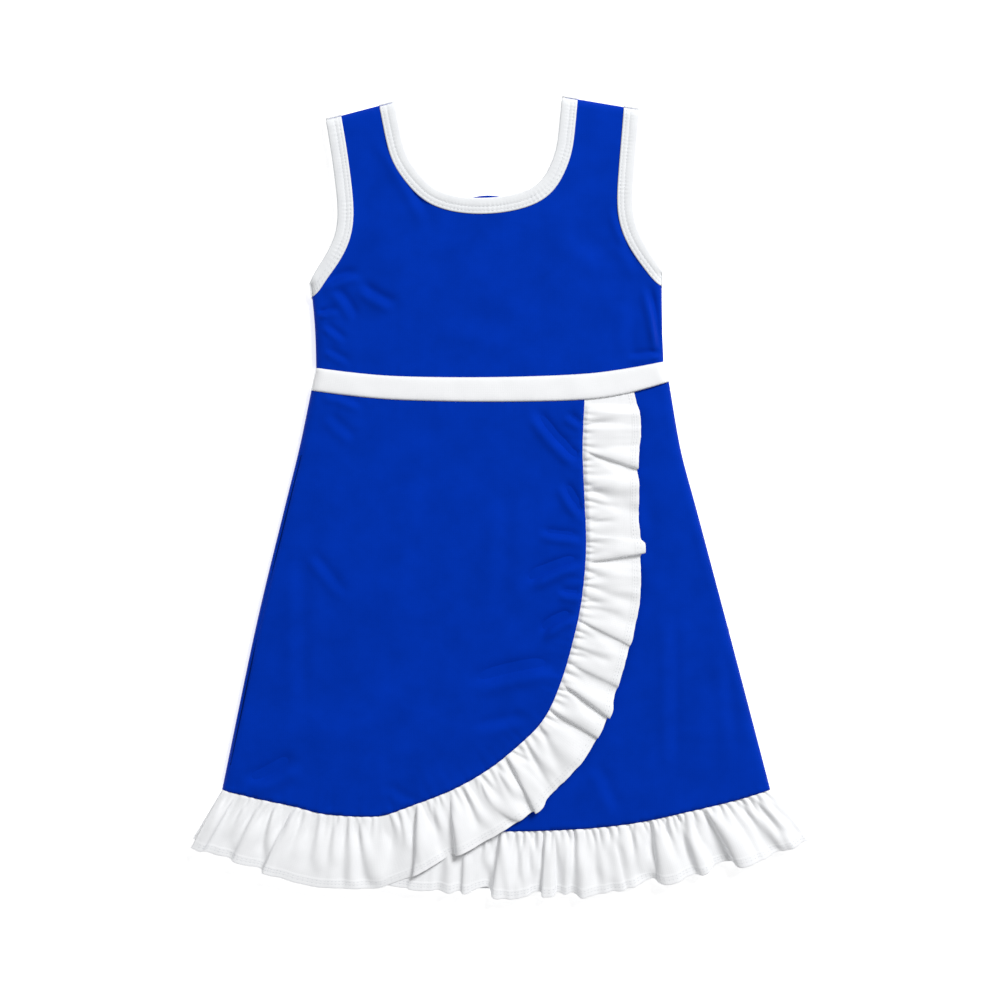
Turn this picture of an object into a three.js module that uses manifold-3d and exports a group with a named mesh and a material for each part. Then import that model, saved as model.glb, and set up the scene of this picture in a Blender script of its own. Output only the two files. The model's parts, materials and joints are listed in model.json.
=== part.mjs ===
// A child's sleeveless cheer dress, lying flat on its back: a scoop-neck bodice with bound edges,
// an inset waistband, and an A-line skirt whose rounded wrap panel folds back along one line.
// Millimetres. +Z is up from the table, +Y points to the neck, +X to the viewer's right.
// The origin is the centre of the bounding box's underside.
import * as THREE from "three";
import { mergeVertices } from "three/addons/utils/BufferGeometryUtils.js";
import Module from "manifold-3d";

const wasm = await Module();
wasm.setup();

// ---- Driving sizes ------------------------------------------------------------------------

const bodiceLength = 213; // waistband's upper edge to the shoulder's highest point
const chestWidth = 271; // underarm to underarm, laid flat
const acrossChest = 226; // between the armholes at their narrowest
const shoulderWidth = 240; // between the outer corners of the straps
const shoulderDrop = 12; // outer end of a shoulder below its neck end
const armholeDepth = 124; // shoulder's outer corner down to the underarm
const neckWidth = 129; // between the straps
const neckDepth = 75; // shoulder's highest point down to the bottom of the scoop

const waistbandDepth = 18.5;
const waistWidth = 275; // along the waistband's lower edge
const waistTaper = 4; // each end of the waistband's upper edge lies this far inside the lower one
const waistBow = 9.5; // ends of the waistband above its middle

const skirtLength = 331; // waistband's lower edge to the hem seam, at the centre
const hemWidth = 424; // along the hem seam, side to side
const hemBow = 32; // ends of the hem seam above its middle
const hemRuffleDepth = 51;
const hemFlare = 0.24; // extra outward turn of a ruffle's end at a side seam, in radians

const wrapRuffleTopDepth = 43; // the wrap ruffle where it leaves the waistband
const wrapRuffleHemDepth = 55; // and where it reaches the side seam
const wrapTaperShare = 0.7; // it narrows over this share of its length, from the side seam
const foldTopDrop = 9; // the wrap's fold line starts this far under the waistband
const foldFootShare = 0.9; // and reaches the hem after this share of the wrap's edge

const cloth = 0.9; // one layer of knit
const seamGap = 0.3; // between neighbouring pieces
const loft = 4.4; // clear space inside the dress, between the bound edges of front and back
const bindingWidth = 12;
const seamAllowance = 6;
const ruffleWavePitch = 17;
const seamStep = 9; // straight stretches that a curved seam is made of

const careLabel = { width: 30, length: 40, thickness: 0.5, down: 0.66 }; // share of the skirt's side
const neckLabel = { width: 24, length: 20, thickness: 0.5, showing: 1.5 };

// How the dress lies: the bodice and the skirt lean a little, and the bodice's right side is higher.
const lean = { bodice: 0.034, skirt: 0.016 };
const tilt = { share: 0.036, full: 60 };

// ---- Levels, from the table up ------------------------------------------------------------

const layer = cloth + seamGap;
const backLevel = { outer: 0, panel: layer, inner: 2 * layer };
const innerFaces = { back: backLevel.inner + cloth, front: backLevel.inner + cloth + loft };
const frontLevel = {
  inner: innerFaces.front,
  panel: innerFaces.front + layer,
  outer: innerFaces.front + 2 * layer,
};
const seamLevel = innerFaces.back + seamGap; // side and shoulder seams stand between the layers
const seamHeight = loft - 2 * seamGap;
const wrapRise = 2 * layer; // the wrap ruffle's free edge lies on top of the hem ruffle
const foldLevel = frontLevel.outer + cloth + wrapRise + layer; // the wrap ruffle's highest point

// ---- Seam lines ---------------------------------------------------------------------------

/** Where a point of the symmetric pattern lies on the table. */
function laid(x, y) {
  const leaning = y > 0 ? lean.bodice : lean.skirt;
  const raised = tilt.share * THREE.MathUtils.clamp(y / tilt.full, 0, 1);
  return new THREE.Vector2(x - leaning * y, y + raised * x);
}

/** A smooth line on the table through points of the pattern. */
const seam = (points) => new THREE.SplineCurve(points.map(([x, y]) => laid(x, y)));

/** The pattern's points for the other side of the body, in the same order of travel. */
const mirrored = (points) => points.map(([x, y]) => [-x, y]).reverse();

/** A right half of the pattern and its mirror image as one line, from left to right. */
const bothSides = (half) => [...mirrored(half), ...half.slice(1)];

const waistTop = waistbandDepth + bodiceLength; // the shoulder's highest point
const neckHalf = neckWidth / 2;
const neckline = bothSides(
  [
    [0, 1],
    [0.31, 0.98],
    [0.59, 0.92],
    [0.745, 0.82],
    [0.906, 0.555],
    [0.965, 0.31],
    [1, 0],
  ].map(([across, down]) => [across * neckHalf, waistTop - down * neckDepth]),
);

const armholeTop = waistTop - shoulderDrop;
const armholeIn = acrossChest / 2;
const strapSpread = shoulderWidth / 2 - armholeIn;
const underarmSpread = chestWidth / 2 - armholeIn;
const armhole = [
  [strapSpread, 0],
  [0.46 * strapSpread, 0.21],
  [0.07 * strapSpread, 0.44],
  [0, 0.58],
  [0.11 * underarmSpread, 0.7],
  [0.47 * underarmSpread, 0.83],
  [0.82 * underarmSpread, 0.93],
  [underarmSpread, 1],
].map(([spread, down]) => [armholeIn + spread, armholeTop - down * armholeDepth]);
const underarm = armhole.at(-1);

/** The waistband's lower or upper edge, from left to right. */
const waistLine = (half, height) =>
  bothSides([
    [0, height],
    [0.52 * half, height + 0.16 * waistBow],
    [0.8 * half, height + 0.55 * waistBow],
    [half, height + waistBow],
  ]);
const waistHalf = waistWidth / 2;
const upperHalf = waistHalf - waistTaper;
const waistLower = waistLine(waistHalf, 0);
const waistUpper = waistLine(upperHalf, waistbandDepth);

const bodiceSide = [
  [underarm[0] - 0.5, underarm[1] - 2.5],
  [chestWidth / 2 - 2, (underarm[1] + waistbandDepth + waistBow) / 2],
  [upperHalf, waistbandDepth + waistBow],
];

const hemHalf = hemWidth / 2;
const hemEnd = -skirtLength + hemBow;
const skirtSide = [
  [0, 0],
  [0.12, 0.15],
  [0.26, 0.3],
  [0.6, 0.6],
  [1, 1],
].map(([out, down]) => [
  waistHalf + out * (hemHalf - waistHalf),
  waistBow + down * (hemEnd - waistBow),
]);
const hem = bothSides(
  [
    [0, 0],
    [0.28, 0.05],
    [0.5, 0.2],
    [0.7, 0.48],
    [0.87, 0.74],
    [1, 1],
  ].map(([out, up]) => [out * hemHalf, -skirtLength + up * hemBow]),
);

// The wrap panel's free edge: down from the waistband, round, and along the hem to the left seam.
const wrapEdge = [
  [0.338, 0.001],
  [0.328, 0.115],
  [0.34, 0.253],
  [0.34, 0.347],
  [0.316, 0.462],
  [0.283, 0.555],
  [0.238, 0.649],
  [0.17, 0.741],
  [0.057, 0.811],
  [-0.036, 0.857],
  [-0.168, 0.904],
  [-0.35, 0.948],
  [-0.437, 0.965],
  [-0.636, 0.959],
  [-0.732, 0.942],
  [-0.87, 0.924],
]
  .map(([out, down]) => [out * hemHalf, -down * skirtLength])
  .concat([[-hemHalf, hemEnd]]);

// ---- Making solids ------------------------------------------------------------------------

/** How many even steps a line is divided into, the same for every piece that follows it. */
const stepsAlong = (line) => Math.max(3, Math.ceil(line.getLength() / seamStep));

/** Even points along a line, moved `inset` to the right of travel. */
function along(points, inset = 0) {
  const line = seam(points);
  const count = stepsAlong(line);
  return Array.from({ length: count + 1 }, (_, i) => {
    const heading = line.getTangentAt(i / count);
    return line
      .getPointAt(i / count)
      .add(new THREE.Vector2(heading.y, -heading.x).multiplyScalar(inset));
  });
}

/** The solid between two levels whose outline is a ring of points. */
function plate(outline, level, thickness) {
  const geometry = new THREE.ExtrudeGeometry(new THREE.Shape(outline), {
    depth: thickness,
    bevelEnabled: false,
  });
  return geometry.translate(0, 0, level);
}

/** The outward-facing copy of a closed geometry, by the sign of its volume. */
function facingOut(geometry) {
  const position = geometry.getAttribute("position");
  const [a, b, c] = [new THREE.Vector3(), new THREE.Vector3(), new THREE.Vector3()];
  let volume = 0;
  for (let i = 0; i < position.count; i += 3) {
    a.fromBufferAttribute(position, i);
    b.fromBufferAttribute(position, i + 1);
    c.fromBufferAttribute(position, i + 2);
    volume += a.dot(b.cross(c));
  }
  if (volume > 0) return geometry;
  for (let i = 0; i < position.count; i += 3) {
    b.fromBufferAttribute(position, i + 1);
    c.fromBufferAttribute(position, i + 2);
    position.setXYZ(i + 1, c.x, c.y, c.z);
    position.setXYZ(i + 2, b.x, b.y, b.z);
  }
  return geometry;
}

/**
 * A profile swept along a seam line. The profile's X runs across, to the right of travel, and its
 * Y is height; `shape(s, across, height)` may move a corner: it gives [across, height, turn].
 */
function swept(profile, line, steps, shape = (s, across, height) => [across, height, 0]) {
  const geometry = new THREE.ExtrudeGeometry(profile, { depth: 1, steps, bevelEnabled: false });
  const position = geometry.getAttribute("position");
  const centre = new THREE.Vector2();
  for (let i = 0; i < position.count; i++) {
    const s = THREE.MathUtils.clamp(position.getZ(i), 0, 1);
    const [across, height, turn] = shape(s, position.getX(i), position.getY(i));
    const heading = line.getTangentAt(s);
    const out = new THREE.Vector2(heading.y, -heading.x).rotateAround(centre, turn);
    const foot = line.getPointAt(s);
    position.setXYZ(i, foot.x + out.x * across, foot.y + out.y * across, height);
  }
  return facingOut(geometry);
}

/** A channel of cloth folded round a raw edge: its wall is on the edge, its mouth inward. */
function bindingProfile(level) {
  const top = level + 2 * layer + cloth;
  return new THREE.Shape(
    [
      [0, level],
      [bindingWidth, level],
      [bindingWidth, level + cloth],
      [cloth, level + cloth],
      [cloth, top - cloth],
      [bindingWidth, top - cloth],
      [bindingWidth, top],
      [0, top],
    ].map(([across, height]) => new THREE.Vector2(across, height)),
  );
}

/** A bound edge along a line of the pattern, with its cloth to the right of travel. */
function binding(points, level) {
  const line = seam(points);
  return swept(bindingProfile(level), line, stepsAlong(line));
}

/** A strip of the given width to the right of a line, between two levels. */
function strip(points, width, level, thickness, start = 0) {
  return plate([...along(points, start), ...along(points, start + width).reverse()], level, thickness);
}

/** A gathered strip: flat at its seam, waved at its free edge, which rises by `rise`. */
function ruffle(points, { depths, level, rise = 0, flares }) {
  const line = seam(points);
  const waves = Math.round(line.getLength() / ruffleWavePitch);
  const profile = new THREE.Shape([
    new THREE.Vector2(0, 0),
    new THREE.Vector2(1, 0),
    new THREE.Vector2(1, cloth),
    new THREE.Vector2(0, cloth),
  ]);
  return swept(profile, line, waves * 4, (s, share, height) => {
    const depth = THREE.MathUtils.lerp(...depths, THREE.MathUtils.smoothstep(s, 0, wrapTaperShare));
    const wave = layer * Math.sin(2 * Math.PI * waves * s);
    const turn = flares[s < 0.5 ? 0 : 1] * (2 * s - 1) ** 3;
    return [seamGap + share * depth, level + height + share * (rise + wave), turn];
  });
}

/** A geometry as a manifold solid, for cutting. */
function toSolid(geometry) {
  const bare = geometry.clone().deleteAttribute("normal").deleteAttribute("uv");
  const merged = mergeVertices(bare, 1e-4);
  return new wasm.Manifold(
    new wasm.Mesh({
      numProp: 3,
      vertProperties: merged.getAttribute("position").array,
      triVerts: new Uint32Array(merged.getIndex().array),
    }),
  );
}

/** A manifold solid as a geometry. */
function toGeometry(solid) {
  const { vertProperties, triVerts } = solid.getMesh();
  const geometry = new THREE.BufferGeometry();
  geometry.setAttribute("position", new THREE.BufferAttribute(new Float32Array(vertProperties), 3));
  geometry.setIndex(new THREE.BufferAttribute(new Uint32Array(triVerts), 1));
  geometry.computeVertexNormals();
  return geometry;
}

/** A block that covers one side of a line through `from` along `heading`, kept `gap` off it. */
function sideOf(from, heading, side, gap) {
  const reach = 4 * skirtLength;
  const block = new THREE.BoxGeometry(reach, reach, reach);
  block.translate(0, side * (reach / 2 + gap), 0);
  block.rotateZ(heading);
  block.translate(from.x, from.y, 0);
  return toSolid(block);
}

// ---- Materials ----------------------------------------------------------------------------

const blueKnit = new THREE.MeshStandardMaterial({ color: 0x0133ac, roughness: 0.75, metalness: 0 });
const whiteKnit = new THREE.MeshStandardMaterial({ color: 0xf0f2f4, roughness: 0.8, metalness: 0 });
const threadKnit = new THREE.MeshStandardMaterial({ color: 0xdfe2e8, roughness: 0.9, metalness: 0 });
const satinTape = new THREE.MeshStandardMaterial({ color: 0xf7f7f5, roughness: 0.45, metalness: 0 });

const dress = new THREE.Group();
dress.name = "cheer_dress";

function add(name, geometry, material) {
  const mesh = new THREE.Mesh(geometry, material.clone());
  mesh.name = name;
  dress.add(mesh);
}

// ---- Bodice -------------------------------------------------------------------------------

/** A bodice panel: bound at the neck and armholes, tucked into the waistband. */
function bodicePanel(level) {
  const tuckedEdge = waistUpper.map(([x, y]) => [x, y - seamAllowance]);
  return plate(
    [
      ...along(tuckedEdge),
      ...along([...bodiceSide].reverse()),
      ...along([...armhole].reverse(), -layer),
      ...along([...neckline].reverse(), -layer),
      ...along(mirrored(armhole).reverse(), -layer),
      ...along(mirrored(bodiceSide).reverse()),
    ],
    level,
    cloth,
  );
}

add("front_bodice", bodicePanel(frontLevel.panel), blueKnit);
add("back_bodice", bodicePanel(backLevel.panel), blueKnit);

const sides = [
  { side: "left", facing: (points) => mirrored(points).reverse(), into: -1 },
  { side: "right", facing: (points) => points, into: 1 },
];
const layers = [
  { face: "front", level: frontLevel.inner, panel: frontLevel },
  { face: "back", level: backLevel.outer, panel: backLevel },
];

for (const { face, level } of layers) {
  add(`neck_binding_${face}`, binding(neckline, level), whiteKnit);
  for (const { side, facing } of sides) {
    const edge = side === "left" ? facing(armhole).reverse() : facing(armhole);
    add(`armhole_binding_${side}_${face}`, binding(edge, level), whiteKnit);
  }
}

// Seam allowances that stand between the layers: shoulders, and sides from underarm to hem.
const shoulder = [
  [neckHalf, waistTop],
  [shoulderWidth / 2, armholeTop],
];
const wholeSide = [...bodiceSide, ...skirtSide];
for (const { side, facing, into } of sides) {
  const acrossStrap = strip(facing(shoulder), into * seamAllowance, seamLevel, seamHeight);
  add(`shoulder_seam_${side}`, acrossStrap, threadKnit);
  const downSide = strip(facing(wholeSide), into * seamAllowance, seamLevel, seamHeight);
  add(`side_seam_${side}`, downSide, threadKnit);
}

add(
  "neck_label",
  new THREE.BoxGeometry(neckLabel.width, neckLabel.length, neckLabel.thickness).translate(
    laid(0, waistTop - neckDepth).x,
    laid(0, waistTop - neckDepth).y + neckLabel.showing - neckLabel.length / 2,
    seamLevel + neckLabel.thickness / 2,
  ),
  blueKnit,
);

// ---- Waistband ----------------------------------------------------------------------------

for (const { face, panel } of layers) {
  const band = [...along(waistLower), ...along(waistUpper).reverse()];
  add(`waistband_${face}`, plate(band, panel.outer, cloth), whiteKnit);
  add(`waistband_facing_${face}`, plate(band, panel.inner, cloth), whiteKnit);
}

// ---- Skirt --------------------------------------------------------------------------------

/** A full-width skirt panel, tucked into the waistband. */
function skirtPanel(level) {
  const tuckedEdge = waistLower.map(([x, y]) => [x, y + seamAllowance]);
  return plate(
    [
      ...along(hem),
      ...along([...skirtSide].reverse()),
      ...along([...tuckedEdge].reverse()),
      ...along(mirrored(skirtSide).reverse()),
    ],
    level,
    cloth,
  );
}

const hemDepths = [hemRuffleDepth, hemRuffleDepth];
const hemFlares = [hemFlare, hemFlare];
add("skirt_back_panel", skirtPanel(backLevel.panel), blueKnit);
add("skirt_under_panel", skirtPanel(frontLevel.panel), blueKnit);
add("back_hem_seam", strip(hem, -seamAllowance, backLevel.inner, cloth), threadKnit);
add("under_hem_seam", strip(hem, -seamAllowance, frontLevel.inner, cloth), threadKnit);
add(
  "back_ruffle",
  ruffle(hem, { depths: hemDepths, level: backLevel.panel, flares: hemFlares }),
  whiteKnit,
);
add(
  "under_panel_ruffle",
  ruffle(hem, { depths: hemDepths, level: frontLevel.panel, flares: hemFlares }),
  whiteKnit,
);

const labelSeat = seam(skirtSide).getPointAt(careLabel.down);
add(
  "care_label",
  new THREE.BoxGeometry(careLabel.width, careLabel.length, careLabel.thickness).translate(
    labelSeat.x - seamAllowance - careLabel.width / 2,
    labelSeat.y,
    backLevel.inner + careLabel.thickness / 2,
  ),
  satinTape,
);

// ---- Wrap panel, which folds back along one line ------------------------------------------

const wrapLine = seam(wrapEdge);
const foldTop = wrapLine.getPointAt(0).add(new THREE.Vector2(wrapRuffleTopDepth, -foldTopDrop));
const foldFoot = wrapLine.getPointAt(foldFootShare);
const foldHeading = foldFoot.clone().sub(foldTop).angle();

// The panel's top edge runs along the waistband, from its left end to the wrap's free edge.
const wrapTopEdge = along(waistLower, seamGap).filter((p) => p.x < wrapLine.getPointAt(0).x - 1);
const wrapOutline = [
  ...along([...wrapEdge].reverse()),
  ...wrapTopEdge.reverse(),
  ...along(mirrored(skirtSide).reverse()).slice(1),
];
const wrapPanel = toSolid(plate(wrapOutline, frontLevel.outer, cloth));
const underWaistband = toSolid(
  plate(
    [
      ...along(waistLower, seamGap).reverse(),
      laid(-hemWidth, 0),
      laid(-hemWidth, -2 * skirtLength),
      laid(hemWidth, -2 * skirtLength),
      laid(hemWidth, 0),
    ],
    -skirtLength,
    3 * skirtLength,
  ),
);
const wrapRuffle = toSolid(
  ruffle([...wrapEdge].reverse(), {
    depths: [wrapRuffleHemDepth, wrapRuffleTopDepth],
    level: frontLevel.outer,
    rise: wrapRise,
    flares: [hemFlare, 0],
  }),
).intersect(underWaistband);

const flapSide = sideOf(foldTop, foldHeading, 1, seamGap);
const fixedSide = sideOf(foldTop, foldHeading, -1, seamGap);
const middle = foldTop.clone().lerp(foldFoot, 0.5);
const waistSide = sideOf(middle, foldHeading + Math.PI / 2, 1, 0);
const hemSide = sideOf(middle, foldHeading + Math.PI / 2, -1, 0);

add("wrap_panel", toGeometry(wrapPanel.intersect(fixedSide)), blueKnit);
add("wrap_flap", toGeometry(wrapPanel.intersect(flapSide)), blueKnit);
add("wrap_ruffle", toGeometry(wrapRuffle.intersect(flapSide)), whiteKnit);
const sewnRuffle = wrapRuffle.intersect(fixedSide);
add("wrap_ruffle_waist_end", toGeometry(sewnRuffle.intersect(waistSide)), whiteKnit);
add("wrap_ruffle_side_end", toGeometry(sewnRuffle.intersect(hemSide)), whiteKnit);

// ---- Frame --------------------------------------------------------------------------------

const box = new THREE.Box3().setFromObject(dress);
const middleOfBox = box.getCenter(new THREE.Vector3());
dress.position.set(-middleOfBox.x, -middleOfBox.y, -box.min.z);

// The fold line's two ends in the dress's own frame, for the wrap's hinge.
const foldPoint = (p) => new THREE.Vector3(p.x, p.y, foldLevel).add(dress.position).toArray();
dress.userData.wrapFold = { top: foldPoint(foldTop), foot: foldPoint(foldFoot) };

export default dress;
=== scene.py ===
"""A child's sleeveless cheer dress, laid flat on its back, built as the cloth that it is sewn from.

Each panel is a sheet cut to its pattern and laid over the layers beneath it. Each edge is bound with
a folded strip, each hem carries a gathered ruffle, and the threads of the visible stitching are
real strands. Lengths in the classes are millimetres, and meshes are made in metres.
"""

import json
import logging
import math
from dataclasses import dataclass
from enum import Enum
from typing import Callable, Sequence

import bpy
import numpy as np
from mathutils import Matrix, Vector
from mathutils.geometry import delaunay_2d_cdt


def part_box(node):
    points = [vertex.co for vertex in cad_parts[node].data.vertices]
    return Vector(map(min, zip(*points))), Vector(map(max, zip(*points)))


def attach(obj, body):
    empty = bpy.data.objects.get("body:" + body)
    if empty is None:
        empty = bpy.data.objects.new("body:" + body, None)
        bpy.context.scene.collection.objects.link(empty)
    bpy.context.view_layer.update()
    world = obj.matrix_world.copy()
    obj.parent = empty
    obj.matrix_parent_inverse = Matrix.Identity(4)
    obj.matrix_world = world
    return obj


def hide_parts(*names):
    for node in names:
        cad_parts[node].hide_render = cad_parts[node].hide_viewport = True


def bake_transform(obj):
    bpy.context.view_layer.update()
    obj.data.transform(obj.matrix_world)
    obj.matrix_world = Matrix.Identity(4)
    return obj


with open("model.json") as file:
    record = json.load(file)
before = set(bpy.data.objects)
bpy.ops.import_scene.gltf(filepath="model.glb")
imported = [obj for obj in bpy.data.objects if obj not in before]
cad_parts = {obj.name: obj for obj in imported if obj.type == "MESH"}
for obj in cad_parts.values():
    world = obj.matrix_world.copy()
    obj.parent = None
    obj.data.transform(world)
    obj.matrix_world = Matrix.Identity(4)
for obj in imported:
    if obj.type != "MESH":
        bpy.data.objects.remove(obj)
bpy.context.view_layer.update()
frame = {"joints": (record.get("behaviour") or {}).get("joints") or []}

MM = 0.001
ROOT_BODY = "dress"
CLOTH_MAP = "cloth"
AT_ONCE = 8000  # how many places are measured at a time, to spare memory

log = logging.getLogger("cheer_dress")

Points = np.ndarray
Surface = Callable[[Points, Points], Points]


class Face(Enum):
    """Which layer of the dress a piece belongs to. The value is the side that its outside faces."""

    FRONT = 1
    BACK = -1


class Side(Enum):
    """A side of the dress as it is seen from above. The value is the sign of X there."""

    LEFT = -1
    RIGHT = 1


# ---- Lines and shapes on the table ---------------------------------------------------------------


def smooth(share: Points) -> Points:
    """An S-shaped rise from 0 to 1 as share goes from 0 to 1.

    Args:
        share: any numbers; those outside 0 to 1 are taken as the nearer end.

    Returns:
        The risen shares.
    """
    held = np.clip(share, 0.0, 1.0)
    return held * held * (3.0 - 2.0 * held)


class Seam:
    """A smooth line on the table, in millimetres, whose places are told by the length along it."""

    def __init__(self, points: Points) -> None:
        """Keeps a dense row of points and works out the length along it.

        Args:
            points: the line's points, one row each.
        """
        steps = np.hypot(*np.diff(points, axis=0).T)
        self.points = points[np.concatenate([[True], steps > 1e-9])]
        self.stations = np.concatenate([[0.0], np.cumsum(np.hypot(*np.diff(self.points, axis=0).T))])
        self.length = float(self.stations[-1])

    @classmethod
    def through(cls, places: Sequence[Sequence[float]], per_span: int = 30) -> "Seam":
        """A Catmull-Rom curve through a few places.

        Args:
            places: the places that the curve passes through.
            per_span: how many points it gets between two places.

        Returns:
            The seam.
        """
        knots = np.asarray(places, dtype=float)
        share = (np.arange(per_span) / per_span)[:, None]
        rows = []
        for i in range(len(knots) - 1):
            here, there = knots[i], knots[i + 1]
            leave = (there - knots[max(i - 1, 0)]) / 2
            arrive = (knots[min(i + 2, len(knots) - 1)] - here) / 2
            rows.append(
                (2 * here - 2 * there + leave + arrive) * share**3
                + (3 * there - 3 * here - 2 * leave - arrive) * share**2
                + leave * share
                + here
            )
        return cls(np.vstack([*rows, knots[-1:]]))

    def eased(self, reach: float = 9.0) -> "Seam":
        """The same seam with its turns eased, as stretched knit takes them; its ends stay put.

        Args:
            reach: how far along the seam each place is averaged with its neighbours.

        Returns:
            The eased seam, with a point for each millimetre.
        """
        row = self.at(np.linspace(0, self.length, max(8, round(self.length))))
        wide = min(3 * round(reach), len(row) - 1)
        weights = np.exp(-((np.arange(-wide, wide + 1) / reach) ** 2))
        before = 2 * row[0] - row[wide:0:-1]
        after = 2 * row[-1] - row[-2 : -wide - 2 : -1]
        longer = np.vstack([before, row, after])
        weights /= weights.sum()
        return Seam(np.stack([np.convolve(line, weights, "valid") for line in longer.T], axis=-1))

    def at(self, station: Points) -> Points:
        """Places along the seam, carried straight on past its ends.

        Args:
            station: lengths along the seam.

        Returns:
            The places, with X and Y along a new last axis.
        """
        station = np.asarray(station, dtype=float)
        place = np.stack([np.interp(station, self.stations, self.points[:, k]) for k in (0, 1)], axis=-1)
        before = np.minimum(station, 0.0)[..., None]
        after = np.maximum(station - self.length, 0.0)[..., None]
        first = self._direction(self.points[0], self.points[3])
        last = self._direction(self.points[-4], self.points[-1])
        return place + before * first + after * last

    @staticmethod
    def _direction(start: Points, end: Points) -> Points:
        """The unit vector from start to end."""
        return (end - start) / np.hypot(*(end - start))

    def heading(self, station: float) -> Points:
        """The unit vector of travel at this length along the seam."""
        return self._direction(self.at(station - 2.5), self.at(station + 2.5))

    def outward(self, station: Points) -> Points:
        """The way out of the seam, to the right of travel.

        Args:
            station: lengths along the seam.

        Returns:
            A unit vector for each.
        """
        ahead = self.at(station + 2.5) - self.at(station - 2.5)
        ahead /= np.linalg.norm(ahead, axis=-1, keepdims=True)
        return np.stack([ahead[..., 1], -ahead[..., 0]], axis=-1)

    def beside(self, distance: float = 0.0, step: float = 1.5) -> Points:
        """Even points along the seam, moved to the right of travel.

        Args:
            distance: how far to the right.
            step: the spacing along the seam.

        Returns:
            The points, one row each.
        """
        station = np.linspace(0, self.length, max(3, round(self.length / step) + 1))
        return self.at(station) + distance * self.outward(station)

    def back_to_front(self) -> "Seam":
        """The same seam, travelled the other way."""
        return Seam(self.points[::-1])

    def nearest(self, places: Points) -> tuple[Points, Points]:
        """How far places lie from the seam, and where along it they are nearest.

        Args:
            places: the places, one row each.

        Returns:
            The distances, and the lengths along the seam.
        """
        stations = np.linspace(0, self.length, max(2, math.ceil(self.length / 4.0)))
        starts, ends = self.at(stations[:-1]), self.at(stations[1:])
        spans = ends - starts
        distances, along = np.empty(len(places)), np.empty(len(places))
        for first in range(0, len(places), AT_ONCE):
            some = slice(first, first + AT_ONCE)
            block = places[some, None, :]
            share = ((block - starts) * spans).sum(-1) / (spans**2).sum(-1)
            share = np.clip(share, 0, 1)
            gap = np.linalg.norm(starts + share[..., None] * spans - block, axis=-1)
            best = gap.argmin(axis=1)
            row = np.arange(len(best))
            distances[some] = gap[row, best]
            along[some] = stations[best] + share[row, best] * (stations[1] - stations[0])
        return distances, along


def mirrored(places: Sequence[Sequence[float]]) -> list[tuple[float, float]]:
    """The same places on the other side of the body, in the opposite order."""
    return [(-x, y) for x, y in reversed(places)]


def inside(outline: Points, places: Points) -> Points:
    """Which places lie inside a closed outline.

    Args:
        outline: the outline's corners.
        places: the places to test.

    Returns:
        True for each place inside.
    """
    x, y = places.T
    within = np.zeros(len(places), dtype=bool)
    for (x1, y1), (x2, y2) in zip(outline, np.roll(outline, -1, axis=0)):
        crosses = (y1 > y) != (y2 > y)
        if crosses.any():
            within[crosses] ^= x[crosses] < (x2 - x1) * (y[crosses] - y1) / (y2 - y1) + x1
    return within


@dataclass(frozen=True)
class Nudge:
    """A place where a hand has smoothed the cloth a few millimetres out of its even lie."""

    centre: tuple[float, float]
    reach: tuple[float, float]
    shift: tuple[float, float]

    def moved(self, x: Points, y: Points) -> tuple[Points, Points]:
        """How far places of the pattern are carried.

        Args:
            x: the places' distances from the middle.
            y: their heights above the waistband's lower edge.

        Returns:
            The shifts in X and in Y.
        """
        near = np.exp(-(((x - self.centre[0]) / self.reach[0]) ** 2))
        near = near * np.exp(-(((y - self.centre[1]) / self.reach[1]) ** 2))
        return near * self.shift[0], near * self.shift[1]


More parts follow.
